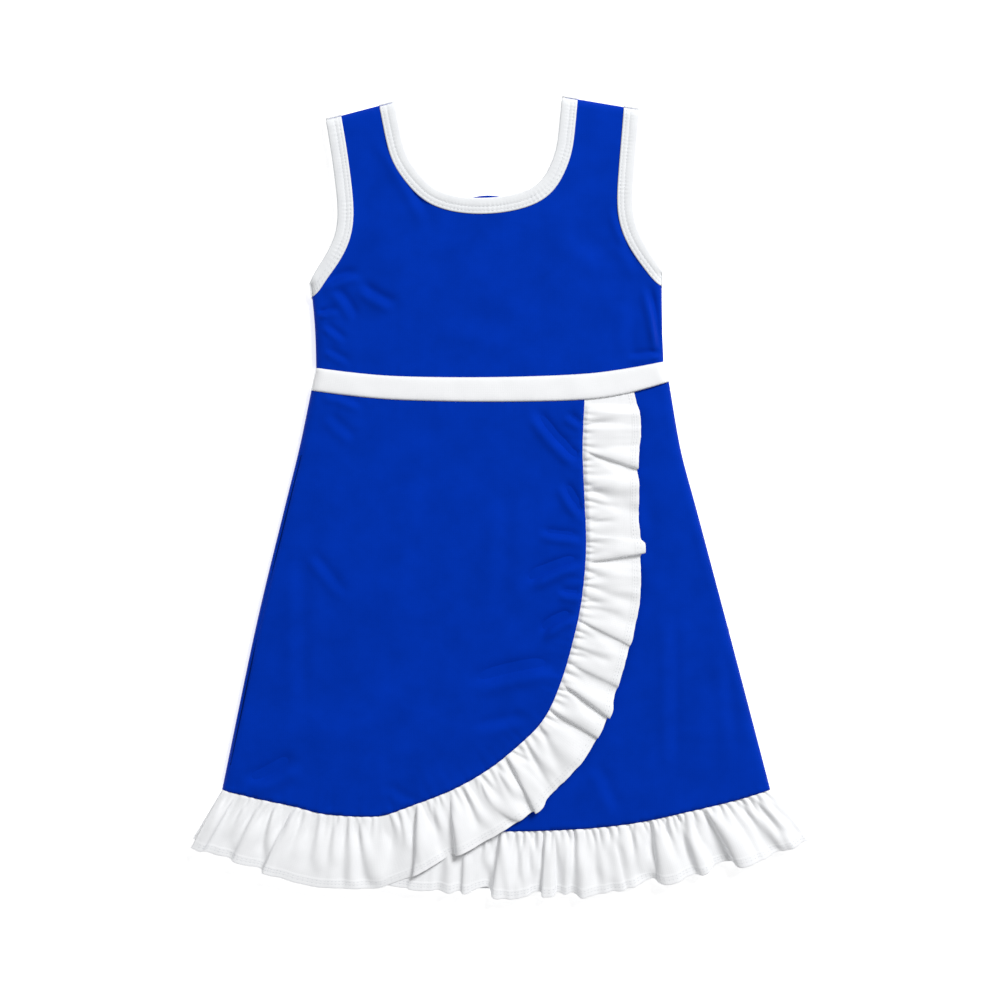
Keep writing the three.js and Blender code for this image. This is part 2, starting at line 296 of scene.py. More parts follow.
@dataclass(frozen=True)
class Pattern:
    """The dress's cut as it lies, in millimetres: the CAD model's sizes, then how hands left it."""

    bodice_length: float = 213
    chest_width: float = 271
    across_chest: float = 226
    shoulder_width: float = 240
    shoulder_drop: float = 12
    armhole_depth: float = 124
    neck_width: float = 129
    neck_depth: float = 75
    waistband_depth: float = 18.5
    waist_width: float = 275
    waist_taper: float = 4
    waist_bow: float = 9.5
    skirt_length: float = 331
    hem_width: float = 424
    hem_bow: float = 32
    seam_allowance: float = 6
    bodice_lean: float = 0.034
    skirt_lean: float = 0.016
    tilt: float = 0.036
    tilt_full: float = 60
    hem_flares: tuple[float, float] = (0.24, 0.37)
    nudges: Sequence[Nudge] = (
        Nudge((-95, 229), (28, 22), (0, 6.4)),  # left shoulder
        Nudge((94, 226), (27, 22), (0, 4.0)),  # right shoulder
        Nudge((-66, 232), (11, 20), (-2.2, 0)),  # left strap, at the neck
        Nudge((66, 200), (16, 48), (-3.1, 0)),  # right strap, at the neck
        Nudge((46, 162), (14, 12), (-2.2, 0)),  # right turn of the neck
        Nudge((-57, 164), (17, 17), (3.6, 3.4)),  # left turn of the neck
        Nudge((-38, 152), (16, 12), (0.5, 1.8)),  # bottom of the neck
        Nudge((-190, -95), (60, 88), (-5.3, 0)),  # left side of the skirt
        Nudge((206, -222), (60, 95), (-3.6, 0)),  # right side, near the hem
        Nudge((141, -20), (36, 24), (-2.2, 0)),  # right side, below the waist
        Nudge((72, -98), (13, 20), (-2.2, 0)),  # wrap edge
        Nudge((139, 8), (30, 12), (0, 5.4)),  # right end of the waistband
        Nudge((136, 118), (18, 22), (-2.6, 0)),  # right underarm
        Nudge((119, 190), (22, 50), (2.2, 0)),  # right armhole
        Nudge((-135, 101), (15, 11), (-1.2, 0.6)),  # left armhole
        Nudge((-144, 88), (12, 9), (0.2, 2.2)),  # left underarm
    )

    def laid(self, places: Sequence[Sequence[float]]) -> Points:
        """Where places of the symmetric pattern lie in the dress's own frame.

        Args:
            places: places of the pattern, from the middle of the waistband's lower edge.

        Returns:
            The places in the frame, in millimetres.
        """
        low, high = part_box("waistband_front")
        lean_at_end = self.bodice_lean * self.waist_bow
        origin = np.array([(low[0] + high[0]) / 2 / MM + lean_at_end, low[1] / MM])
        x, y = np.asarray(places, dtype=float).T
        lean = np.where(y > 0, self.bodice_lean, self.skirt_lean)
        raised = self.tilt * np.clip(y / self.tilt_full, 0, 1)
        moved = np.sum([nudge.moved(x, y) for nudge in self.nudges], axis=0)
        return np.stack([x - lean * y + moved[0], y + raised * x + moved[1]], axis=-1) + origin

    def seam(self, places: Sequence[Sequence[float]]) -> Seam:
        """A smooth seam through places of the pattern."""
        return Seam.through(self.laid(places)).eased()

    @property
    def waist_top(self) -> float:
        """The shoulder's highest point above the waistband's lower edge."""
        return self.waistband_depth + self.bodice_length

    @property
    def neckline(self) -> Seam:
        """The scoop's free edge, from left to right.

        Returns:
            The seam.
        """
        shares = [
            (0, 1), (0.31, 0.98), (0.59, 0.92), (0.745, 0.82), (0.906, 0.555), (0.965, 0.31), (1, 0),
        ]
        half = [(x * self.neck_width / 2, self.waist_top - y * self.neck_depth) for x, y in shares]
        return self.seam(mirrored(half) + half[1:])

    @property
    def armhole_places(self) -> list[tuple[float, float]]:
        """The right armhole's free edge, from the shoulder down to the underarm.

        Returns:
            Its places in the pattern.
        """
        narrow = self.across_chest / 2
        strap, underarm = self.shoulder_width / 2 - narrow, self.chest_width / 2 - narrow
        spread = [
            (strap, 0), (0.46 * strap, 0.21), (0.07 * strap, 0.44), (0, 0.58),
            (0.11 * underarm, 0.7), (0.47 * underarm, 0.83), (0.82 * underarm, 0.93), (underarm, 1),
        ]
        top = self.waist_top - self.shoulder_drop
        return [(narrow + out, top - down * self.armhole_depth) for out, down in spread]

    def armhole(self, side: Side) -> Seam:
        """An armhole's free edge, travelled with the cloth on its right."""
        places = self.armhole_places
        return self.seam(places if side is Side.RIGHT else mirrored(places))

    def waist_line(self, upper: bool) -> Seam:
        """The waistband's upper or lower edge, from left to right.

        Args:
            upper: True for the edge that the bodice is sewn to.

        Returns:
            The seam.
        """
        half = self.waist_width / 2 - (self.waist_taper if upper else 0)
        base = self.waistband_depth if upper else 0
        shares = [(0, 0), (0.52, 0.16), (0.8, 0.55), (1, 1)]
        right = [(x * half, base + y * self.waist_bow) for x, y in shares]
        return self.seam(mirrored(right) + right[1:])

    @property
    def bodice_side_places(self) -> list[tuple[float, float]]:
        """The right side of the bodice, from the underarm down to the waistband.

        Returns:
            Its places in the pattern.
        """
        x, y = self.armhole_places[-1]
        end = self.waistband_depth + self.waist_bow
        return [
            (x - 0.5, y - 2.5),
            (self.chest_width / 2 - 2, (y + end) / 2),
            (self.waist_width / 2 - self.waist_taper, end),
        ]

    @property
    def skirt_side_places(self) -> list[tuple[float, float]]:
        """The right side of the skirt, from the waistband down to the hem seam.

        Returns:
            Its places in the pattern.
        """
        waist, hem = self.waist_width / 2, self.hem_width / 2
        end = self.hem_bow - self.skirt_length
        shares = [(0, 0), (0.12, 0.15), (0.26, 0.3), (0.6, 0.6), (1, 1)]
        return [
            (waist + x * (hem - waist), self.waist_bow + y * (end - self.waist_bow)) for x, y in shares
        ]

    def side(self, side: Side, places: Sequence[Sequence[float]]) -> Seam:
        """A side seam, from its top down."""
        return self.seam([(side.value * x, y) for x, y in places])

    @property
    def hem(self) -> Seam:
        """The hem seam, from left to right.

        Returns:
            The seam.
        """
        shares = [(0, 0), (0.28, 0.05), (0.5, 0.2), (0.7, 0.48), (0.87, 0.74), (1, 1)]
        half = [(x * self.hem_width / 2, y * self.hem_bow - self.skirt_length) for x, y in shares]
        return self.seam(mirrored(half) + half[1:])

    @property
    def wrap_edge(self) -> Seam:
        """The wrap panel's free edge, from the waistband round to the left end of the hem seam.

        Returns:
            The seam.
        """
        shares = [
            (0.338, 0.001), (0.328, 0.115), (0.34, 0.253), (0.34, 0.347), (0.316, 0.462), (0.283, 0.555),
            (0.238, 0.649), (0.17, 0.741), (0.057, 0.811), (-0.036, 0.857), (-0.168, 0.904),
            (-0.35, 0.948), (-0.437, 0.965), (-0.636, 0.959), (-0.732, 0.942), (-0.87, 0.924),
        ]
        half = self.hem_width / 2
        places = [(x * half, -y * self.skirt_length) for x, y in shares]
        return self.seam([*places, (-half, self.hem_bow - self.skirt_length)])

    def shoulder(self, side: Side) -> Seam:
        """A shoulder line, from the neck out.

        Args:
            side: which shoulder.

        Returns:
            The seam.
        """
        end = self.waist_top - self.shoulder_drop
        places = [(self.neck_width / 2, self.waist_top), (self.shoulder_width / 2, end)]
        return self.seam([(side.value * x, y) for x, y in places])


# ---- How the layers lie --------------------------------------------------------------------------


@dataclass(frozen=True)
class Ply:
    """The height of one layer's middle: where it lies flat, and where it is sewn to its partner."""

    flat: float
    closed: float
    crown: float = 0.8


FRONT_PLY = Ply(9.35, 5.9)
BACK_PLY = Ply(1.95, 4.9, crown=0)
WRAP_PLY = Ply(10.9, 6.9)
BAND_PLY = Ply(12.0, 7.9)
FACING_PLY = Ply(8.2, 5.3)
BACK_BAND_PLY = Ply(0.85, 3.6, crown=0)
BACK_FACING_PLY = Ply(2.9, 4.5, crown=0)
PANEL_PLY = {Face.FRONT: FRONT_PLY, Face.BACK: BACK_PLY}


class Lie:
    """How the sewn dress lies: layers are flat inside, and roll together at the closed seams."""

    roll: float = 7.0
    crown_reach: float = 35.0

    def __init__(self, pattern: Pattern, ruffle_depth: float) -> None:
        """Finds the seams where front and back are sewn together.

        Args:
            pattern: the dress's cut.
            ruffle_depth: how far the hem ruffles carry the side seams down past the hem seam.
        """
        self.closed_seams = [pattern.shoulder(side) for side in Side]
        places = [*pattern.bodice_side_places, *pattern.skirt_side_places]
        hem = pattern.hem
        for side in Side:
            line = pattern.side(side, places).points
            down = hem.outward(np.array(0.0 if side is Side.LEFT else hem.length))
            turn = side.value * pattern.hem_flares[side is Side.RIGHT]
            end = line[-1] + ruffle_depth * turned(down, turn)
            self.closed_seams.append(Seam(np.vstack([line, end])))

    def to_seam(self, places: Points) -> Points:
        """How far places lie from the nearest closed seam."""
        return np.min([seam.nearest(places)[0] for seam in self.closed_seams], axis=0)

    def openness(self, distance: Points) -> Points:
        """0 on a closed seam, rising to 1 where the layers lie flat, as a quarter circle does."""
        share = np.clip(distance / self.roll, 0, 1)
        return np.sqrt(np.maximum(0.0, 1 - (1 - share) ** 2))

    def height(self, ply: Ply, places: Points) -> tuple[Points, Points]:
        """A layer's height at some places.

        Args:
            ply: the layer.
            places: places on the table; any shape that ends in X and Y.

        Returns:
            The heights, and how open the layers are there.
        """
        distance = self.to_seam(places.reshape(-1, 2)).reshape(places.shape[:-1])
        openness = self.openness(distance)
        crown = ply.crown * (1 - np.exp(-distance / self.crown_reach))
        return ply.closed + (ply.flat - ply.closed) * openness + crown, openness


def no_lower(height: Points, least: float, soft: float) -> Points:
    """Heights that level out softly where they would sink below the least."""
    above = (height - least) / soft
    return least + soft * np.logaddexp(0.0, above)


def turned(vectors: Points, angle: Points | float) -> Points:
    """Flat vectors turned anticlockwise.

    Args:
        vectors: the vectors, with X and Y along the last axis.
        angle: an angle for each, in radians.

    Returns:
        The turned vectors.
    """
    cos, sin = np.cos(angle), np.sin(angle)
    x, y = vectors[..., 0], vectors[..., 1]
    return np.stack([cos * x - sin * y, sin * x + cos * y], axis=-1)


@dataclass(frozen=True)
class Crease:
    """A soft wrinkle between two places of the frame: a ridge with a shallow valley beside it.

    Attributes:
        start: where it starts.
        end: where it ends.
        width: how wide the ridge is to each side.
        height: how high it is.
        bow: how far its middle bends to the left of travel.
        hold: over what distance from a held seam it grows.
    """

    start: tuple[float, float]
    end: tuple[float, float]
    width: float
    height: float
    bow: float = 0.0
    hold: float = 4.5

    def relief(self, places: Points) -> Points:
        """How much the crease lifts the cloth at these places.

        Args:
            places: places in the frame, one row each.

        Returns:
            The height added at each place.
        """
        start, span = np.array(self.start), np.subtract(self.end, self.start)
        length = float(np.hypot(*span))
        along = (places - start) @ span / length**2
        across = (places - start) @ np.array([-span[1], span[0]]) / length
        across -= self.bow * 4 * along * (1 - along)
        fade = smooth(along / 0.3) * smooth((1 - along) / 0.3)
        offset = across / self.width
        return self.height * fade * (0.8 * np.exp(-(offset**2)) - np.exp(-((offset - 1.6) ** 2)))


@dataclass(frozen=True)
class Pucker:
    """Fine ripples that a line of stitching draws into the cloth beside it.

    Attributes:
        seam: the line of stitching.
        pitch: how long a ripple is.
        height: how high it is.
        reach: how far from the stitching it fades.
        seed: the seed of its unevenness.
        hold: over what distance from a held seam it grows.
    """

    seam: Seam
    pitch: float
    height: float
    reach: float
    seed: int = 1
    hold: float = 2.5

    def relief(self, places: Points) -> Points:
        """How much the ripples lift the cloth at these places.

        Args:
            places: places in the frame, one row each.

        Returns:
            The height added at each place.
        """
        distance, along = self.seam.nearest(places)
        drift = drifting(along, 34.0, self.seed)
        wave = np.cos(2 * np.pi * along / self.pitch + 3.2 * drift)
        strength = 0.55 + 0.45 * drifting(along, 19.0, self.seed + 5)
        return self.height * wave * strength * np.exp(-((distance / self.reach) ** 2))


@dataclass(frozen=True)
class Swell:
    """Broad, shallow waves in cloth that has been smoothed out by hand.

    Attributes:
        height: how high they usually are.
        shortest: the length of the shortest.
        longest: the length of the longest.
        seed: the seed of their places.
        count: how many there are.
        hold: over what distance from a held seam they grow.
    """

    height: float
    shortest: float = 55.0
    longest: float = 170.0
    seed: int = 3
    count: int = 9
    hold: float = 24.0

    def relief(self, places: Points) -> Points:
        """How much the waves lift the cloth at these places.

        Args:
            places: places in the frame, one row each.

        Returns:
            The height added at each place.
        """
        draw = np.random.default_rng(self.seed)
        total = np.zeros(len(places))
        for _ in range(self.count):
            angle, length = draw.uniform(0, 2 * np.pi), draw.uniform(self.shortest, self.longest)
            direction = np.array([np.cos(angle), np.sin(angle)])
            total += np.sin(2 * np.pi * places @ direction / length + draw.uniform(0, 2 * np.pi))
        return self.height * total / math.sqrt(self.count)


@dataclass(frozen=True)
class SeamLine:
    """The shallow groove where a side seam has rolled a little way onto the front."""

    seam: Seam
    inset: float
    depth: float = 1.0
    width: float = 1.1
    hold: float = 1.0

    def relief(self, places: Points) -> Points:
        """How much the groove lifts the cloth, which is less than nothing.

        Args:
            places: places in the frame, one row each.

        Returns:
            The height added at each place.
        """
        distance, along = self.seam.nearest(places)
        share = along / self.seam.length
        fade = smooth((share - 0.1) / 0.1) * smooth((0.9 - share) / 0.1)
        return -self.depth * fade * np.exp(-(((distance - self.inset) / self.width) ** 2))


def drifting(along: Points, length: float, seed: int) -> Points:
    """A slow random wander between about -1 and 1 along a seam.

    Args:
        along: lengths along the seam.
        length: how long a wander lasts.
        seed: the draw's seed.

    Returns:
        The wander at each length.
    """
    draw = np.random.default_rng(seed)
    total = np.zeros(np.shape(along))
    for octave in (1.0, 1.7, 2.9):
        total += np.sin(2 * np.pi * octave * along / (length * 2.4) + draw.uniform(0, 2 * np.pi)) / octave
    return total / 1.6


# ---- Finishes ------------------------------------------------------------------------------------

WAVE_TURN = math.pi / 10  # a wave texture of scale 1 repeats over this length
LOOPS_IN_NAP = 0.45  # how strongly the knitted loops show through the nap that covers them
# The hollows of loops and nap are painted darker, as painted shade; the slow mottle is the cloth's own
# random tone.
SURFACE_IN_SHADE = 0.35  # how strongly loops and nap shade the cloth, against its slow mottle
ROUGHNESS_SPREAD = 0.06  # how far the nap varies the roughness either way


def linear(colour: str) -> tuple[float, float, float, float]:
    """An sRGB hex colour as linear red, green, blue and alpha."""
    channels = [int(colour[i : i + 2], 16) / 255 for i in (1, 3, 5)]
    return (*[c / 12.92 if c <= 0.04045 else ((c + 0.055) / 1.055) ** 2.4 for c in channels], 1.0)


def add_node(tree: bpy.types.NodeTree, kind: str, settings: dict | None = None,
             links: dict | None = None, **attributes: object) -> bpy.types.Node:
    """Adds a shader node.

    Args:
        tree: the material's nodes.
        kind: the node's type.
        settings: a value for each named or numbered input.
        links: an output for each named or numbered input.
        **attributes: the node's own settings.

    Returns:
        The node.
    """
    node = tree.nodes.new(kind)
    for name, value in attributes.items():
        setattr(node, name, value)
    for socket, value in (settings or {}).items():
        node.inputs[socket].default_value = value
    for socket, source in (links or {}).items():
        tree.links.new(source, node.inputs[socket])
    return node


@dataclass(frozen=True)
class Finish:
    """A knitted, spun or woven finish, whose pattern runs in the cloth's own millimetres.

    Attributes:
        name: what it is made of and how.
        slot: the record's slot that it stands for; not used.
        colour: the colour of its raised parts.
        shade: the colour painted into its hollows as painted shade, and into the dark side of its slow
            mottle.
        roughness: how matt it is.
        rib: the spacing of its wales, or of whatever runs along it.
        course: the spacing of what runs across it.
        relief: how deep its surface is.
        specular: how strongly its filaments shine.
        tint: the colour of that shine and of the sheen.
        sheen: how much its nap catches light at a slant.
        mottle: how broad its slow unevenness is.
        nap: how broad the tufts of its nap are.
    """

    name: str
    slot: str
    colour: str
    shade: str
    roughness: float
    rib: float
    course: float
    relief: float
    specular: float
    tint: str
    sheen: float
    mottle: float = 26.0
    nap: float = 0.7

    def material(self) -> bpy.types.Material:
        """Makes the finish's material once, and hands it out again after that.

        Returns:
            The material.
        """
        found = bpy.data.materials.get(self.name)
        if found:
            return found
        material = bpy.data.materials.new(self.name)
        material.use_nodes = True
        tree = material.node_tree
        tree.nodes.clear()
        cloth = add_node(tree, "ShaderNodeUVMap", uv_map=CLOTH_MAP)
        place = add_node(
            tree, "ShaderNodeVectorMath", {"Scale": 1 / MM}, {0: cloth.outputs[0]}, operation="SCALE"
        ).outputs[0]
        wales = add_node(
            tree, "ShaderNodeTexWave", {"Scale": WAVE_TURN / self.rib, "Distortion": 0.5, "Detail": 1.0},
            {"Vector": place}, bands_direction="X",
        ).outputs["Fac"]
        courses = add_node(
            tree, "ShaderNodeTexWave", {"Scale": WAVE_TURN / self.course, "Distortion": 0.8, "Detail": 1.0},
            {"Vector": place}, bands_direction="Y",
        ).outputs["Fac"]
        loops = add_node(
            tree, "ShaderNodeMath", links={0: wales, 1: courses}, operation="MULTIPLY"
        ).outputs[0]
        nap = add_node(
            tree, "ShaderNodeTexNoise", {"Scale": 1 / self.nap, "Detail": 4.0, "Roughness": 0.65},
            {"Vector": place},
        ).outputs[0]
        mottle = add_node(
            tree, "ShaderNodeTexNoise", {"Scale": 1 / self.mottle, "Detail": 3.0, "Roughness": 0.55},
            {"Vector": place},
        ).outputs[0]
        surface = add_node(
            tree, "ShaderNodeMath", {1: LOOPS_IN_NAP}, {0: loops, 2: nap}, operation="MULTIPLY_ADD"
        ).outputs[0]
        # Painted shade: the colour darkens where loops and nap dip, in the bump's hollows, and also follows
        # the slow random mottle.
        hollow_shade_and_mottle = add_node(
            tree, "ShaderNodeMath", {1: SURFACE_IN_SHADE}, {0: surface, 2: mottle},
            operation="MULTIPLY_ADD",
        ).outputs[0]
        share = add_node(
            tree, "ShaderNodeMapRange", {"From Min": 0.45, "From Max": 1.05}, {"Value": hollow_shade_and_mottle}
        ).outputs[0]
        colour = add_node(
            tree, "ShaderNodeMix", {6: linear(self.shade), 7: linear(self.colour)}, {0: share},
            data_type="RGBA",
        ).outputs[2]
        roughness = add_node(
            tree, "ShaderNodeMapRange",
            {
                "From Min": 0.3, "From Max": 0.9,
                "To Min": self.roughness - ROUGHNESS_SPREAD, "To Max": self.roughness + ROUGHNESS_SPREAD,
            },
            {"Value": nap},
        ).outputs[0]
        bump = add_node(
            tree, "ShaderNodeBump", {"Strength": 0.6, "Distance": self.relief * MM}, {"Height": surface}
        ).outputs[0]
        shader = add_node(
            tree, "ShaderNodeBsdfPrincipled",
            {
                "Specular IOR Level": self.specular, "Specular Tint": linear(self.tint),
                "Sheen Weight": self.sheen, "Sheen Roughness": 0.5, "Sheen Tint": linear(self.tint),
                "IOR": 1.5, "Metallic": 0.0,
            },
            {"Base Color": colour, "Roughness": roughness, "Normal": bump},
        ).outputs[0]
        add_node(tree, "ShaderNodeOutputMaterial", links={"Surface": shader})
        return material


# Brushed knit of textured polyester and spandex: a matt, nearly ribless face with a soft nap. Its
# dyed filaments are so deep that what little shine they have is blue. The real wales are 0.6 mm
# apart and the courses 0.45 mm. They are drawn 1.7 and 1.3 mm apart so that they show.
BLUE_KNIT = Finish(
    "brushed_polyester_knit_royal_blue", slot="blue_knit", colour="#0232ad", shade="#012c9b",
    roughness=0.78, rib=1.7, course=1.3, relief=0.10, specular=0.22, tint="#1a4be0", sheen=0.03,
)
# The same knit undyed and bleached: it scatters light inside, so folds stay pale and cool.
WHITE_KNIT = Finish(
    "brushed_polyester_knit_white", slot="white_knit", colour="#eeeff1", shade="#e6e7e9",
    roughness=0.82, rib=1.7, course=1.3, relief=0.10, specular=0.25, tint="#ffffff", sheen=0.05,
)
# The same white knit cut narrow and stretched round an edge: opened loops shade it a little. They
# are drawn at twice their real spacing.
WHITE_BINDING = Finish(
    "stretched_knit_binding_white", slot="white_knit", colour="#e4e6e8", shade="#dadcdf",
    roughness=0.84, rib=1.3, course=1.0, relief=0.12, specular=0.2, tint="#ffffff", sheen=0.04,
    mottle=14.0,
)
# Spun polyester sewing thread, twisted from two plies with a turn each half millimetre: a little
# greyer than the cloth, because it stands in its own shade.
THREAD = Finish(
    "spun_polyester_thread_white", slot="overlocked_seam", colour="#d9dbde", shade="#c9ccd1",
    roughness=0.7, rib=0.5, course=0.5, relief=0.05, specular=0.3, tint="#ffffff", sheen=0.1,
    mottle=6.0, nap=0.3,
)
# Sewing thread dyed to match the knit, sunk in its groove. Its colour is painted much darker than the knit,
# as painted shade of the groove, so that it reads as a fine dark line.
SEAM_SHADE_THREAD = Finish(
    "spun_polyester_thread_navy", slot="blue_knit", colour="#001a63", shade="#00124a",
    roughness=0.75, rib=0.5, course=0.5, relief=0.05, specular=0.1, tint="#1a4be0", sheen=0.0,
    mottle=6.0, nap=0.3,
)
# Woven polyester satin label tape: long floats of bright filament give it a soft gloss along it.
# The floats, 0.2 by 0.8 mm in the real tape, are drawn three times as large.
SATIN = Finish(
    "woven_satin_tape_white", slot="satin_tape", colour="#f6f6f3", shade="#ececea",
    roughness=0.42, rib=0.6, course=2.4, relief=0.05, specular=0.5, tint="#ffffff", sheen=0.15,
    mottle=12.0, nap=0.4,
)


# ---- Making pieces -------------------------------------------------------------------------------


@dataclass(frozen=True)
class WrapFold:
    """The line that the wrap panel folds back along, taken from the frame's joint."""

    joint: str = "wrap_fold"
    bend_width: float = 24.0

    def bend(self) -> tuple[tuple[float, float, float], tuple[float, float, float]]:
        """Where the cloth starts to bend, and where it has turned all the way.

        Returns:
            The two places, in metres.
        """
        joint = next(j for j in frame["joints"] if j["name"] == self.joint)
        start, axis = Vector(joint["pos_m"]), Vector(joint["axis"]).normalized()
        into_flap = Vector((-axis.y, axis.x, 0.0))
        return tuple(start), tuple(start + into_flap * self.bend_width * MM)


@dataclass(frozen=True)
class Piece:
    """One finished piece of cloth or thread, ready to be put in the scene."""

    name: str
    points: Points
    faces: list[tuple[int, ...]]
    cloth: Points
    finish: Finish
    thickness: float = 0.0
    stands_for: Sequence[str] = ()
    folds_with_wrap: bool = False

    def build(self) -> bpy.types.Object:
        """Makes the mesh and dresses it; it ties it to the dress's body, or, with folds_with_wrap set, only
        bakes its place into the mesh.

        Returns:
            The object.
        """
        mesh = bpy.data.meshes.new(self.name)
        mesh.from_pydata((self.points * MM).tolist(), [], self.faces)
        layer = mesh.uv_layers.new(name=CLOTH_MAP)
        corners = np.empty(len(mesh.loops), dtype=np.int32)
        mesh.loops.foreach_get("vertex_index", corners)
        layer.data.foreach_set("uv", (self.cloth[corners] * MM).astype(np.float32).ravel())
        mesh.shade_smooth()
        mesh.materials.append(self.finish.material())
        piece = bpy.data.objects.new(self.name, mesh)
        bpy.context.scene.collection.objects.link(piece)
        if self.thickness:
            solid = piece.modifiers.new("cloth_thickness", "SOLIDIFY")
            solid.thickness = self.thickness * MM
            solid.offset = 0.0
            solid.use_rim = True
        if self.folds_with_wrap:
            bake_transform(piece)
        else:
            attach(piece, ROOT_BODY)
        if self.stands_for:
            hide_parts(*self.stands_for)
        log.info("%s: %d points, %d faces", self.name, len(self.points), len(self.faces))
        return piece


def grid_faces(rows: int, columns: int) -> list[tuple[int, int, int, int]]:
    """The quads of a grid whose points are stored row by row.

    Args:
        rows: how many rows the grid has.
        columns: how many points are in a row.

    Returns:
        The faces.
    """
    corner = (np.arange(rows - 1)[:, None] * columns + np.arange(columns - 1)).ravel()
    quads = np.stack([corner, corner + 1, corner + columns + 1, corner + columns], axis=1)
    return [tuple(q) for q in quads.tolist()]


def polygon_area(outline: Points) -> float:
    """The area inside an outline, in its own units squared."""
    x, y = outline.T
    return abs(float(np.dot(x, np.roll(y, -1)) - np.dot(y, np.roll(x, -1)))) / 2


@dataclass(frozen=True)
class Panel:
    """A flat-cut panel of knit, laid at its height and wrinkled."""

    name: str
    outline: Points
    ply: Ply
    stands_for: Sequence[str]
    reliefs: Sequence[Crease | Pucker | Swell | SeamLine] = ()
    held_by: Sequence[Seam] = ()
    turned_edge: Seam | None = None
    folds_with_wrap: bool = False
    finish: Finish = BLUE_KNIT
    thickness: float = 0.8
    pitch: float = 2.5
    edge_pitch: float = 1.1
    turned_puff: float = 0.3
    turned_drop: float = 0.35

    def lattice(self, pitch: float) -> Points:
        """Points of a triangular lattice over the panel's box.

        Args:
            pitch: how far apart they are.

        Returns:
            The points, one row each.
        """
        low, high = self.outline.min(axis=0), self.outline.max(axis=0)
        rows = np.arange(low[1], high[1], pitch * math.sqrt(0.75))
        columns = np.arange(low[0], high[0], pitch)
        x = columns[None, :] + np.where(np.arange(len(rows)) % 2, pitch / 2, 0.0)[:, None]
        return np.stack([x, np.broadcast_to(rows[:, None], x.shape)], axis=-1).reshape(-1, 2)

    def build(self, lie: Lie, rests_on: Sequence[str]) -> bpy.types.Object:
        """Args:
            lie: how the layers lie.
            rests_on: names of what the panel lies on; not used.

        Returns:
            The object.
        """
        edge = Seam(np.vstack([self.outline, self.outline[:1]]))
        rim = Lie.roll + self.pitch
        chosen = []
        for pitch, near in ((self.pitch, False), (self.edge_pitch, True)):
            places = self.lattice(pitch)
            places = places[inside(self.outline, places)]
            distance = lie.to_seam(places)
            places = places[(distance < rim) if near else (distance >= rim)]
            chosen.append(places[edge.nearest(places)[0] > 0.6 * pitch])
        flat = np.vstack([self.outline, *chosen])
        count = len(self.outline)
        border = [(i, (i + 1) % count) for i in range(count)]
        verts, _, faces, *_ = delaunay_2d_cdt([Vector(p) for p in flat.tolist()], border, [], 1, 1e-5)
        places = np.array([tuple(v) for v in verts])
        height, openness = lie.height(self.ply, places)
        free = np.min([seam.nearest(places)[0] for seam in self.held_by], axis=0)
        for relief in self.reliefs:
            height += relief.relief(places) * openness * smooth(free / relief.hold)
        if self.turned_edge is not None:
            distance, _ = self.turned_edge.nearest(places)
            height += self.turned_puff * np.exp(-(((distance - 2.4) / 1.5) ** 2))
            height -= self.turned_drop * np.exp(-distance / 0.9)
        piece = Piece(
            self.name, np.column_stack([places, height]), [tuple(f) for f in faces], places,
            self.finish, self.thickness, self.stands_for, self.folds_with_wrap,
        ).build()
        width, length = np.ptp(self.outline, axis=0) * MM
        polygon_area(self.outline) * MM**2
        return piece


# ---- Threads -------------------------------------------------------------------------------------


def tube_faces(rings: int, sides: int) -> list[tuple[int, ...]]:
    """The faces of a closed tube whose points are stored ring by ring.

    Args:
        rings: how many rings it has.
        sides: how many points are in a ring.

    Returns:
        The faces of its wall, then its two ends.
    """
    wall = []
    for ring in range(rings - 1):
        for side in range(sides):
            here, there = sides * ring, sides * (ring + 1)
            after = (side + 1) % sides
            wall.append((here + side, here + after, there + after, there + side))
    last = sides * (rings - 1)
    return [*wall, tuple(range(sides - 1, -1, -1)), tuple(range(last, last + sides))]


def strand_along(path: Points, radius: float, sides: int = 5) -> tuple[Points, list[tuple[int, ...]]]:
    """A round strand along a path, closed at both ends.

    Args:
        path: the path's points.
        radius: the strand's radius.
        sides: how many sides its section has.

    Returns:
        Its points and faces.
    """
    ahead = np.gradient(path, axis=0)
    ahead /= np.linalg.norm(ahead, axis=1, keepdims=True)
    beside = np.cross(ahead, np.array([0.0, 0.0, 1.0]))
    beside /= np.linalg.norm(beside, axis=1, keepdims=True) + 1e-9
    up = np.cross(beside, ahead)
    turns = np.linspace(0, 2 * np.pi, sides, endpoint=False)
    ring = np.cos(turns)[None, :, None] * beside[:, None] + np.sin(turns)[None, :, None] * up[:, None]
    points = (path[:, None] + radius * ring).reshape(-1, 3)
    return points, tube_faces(len(path), sides)


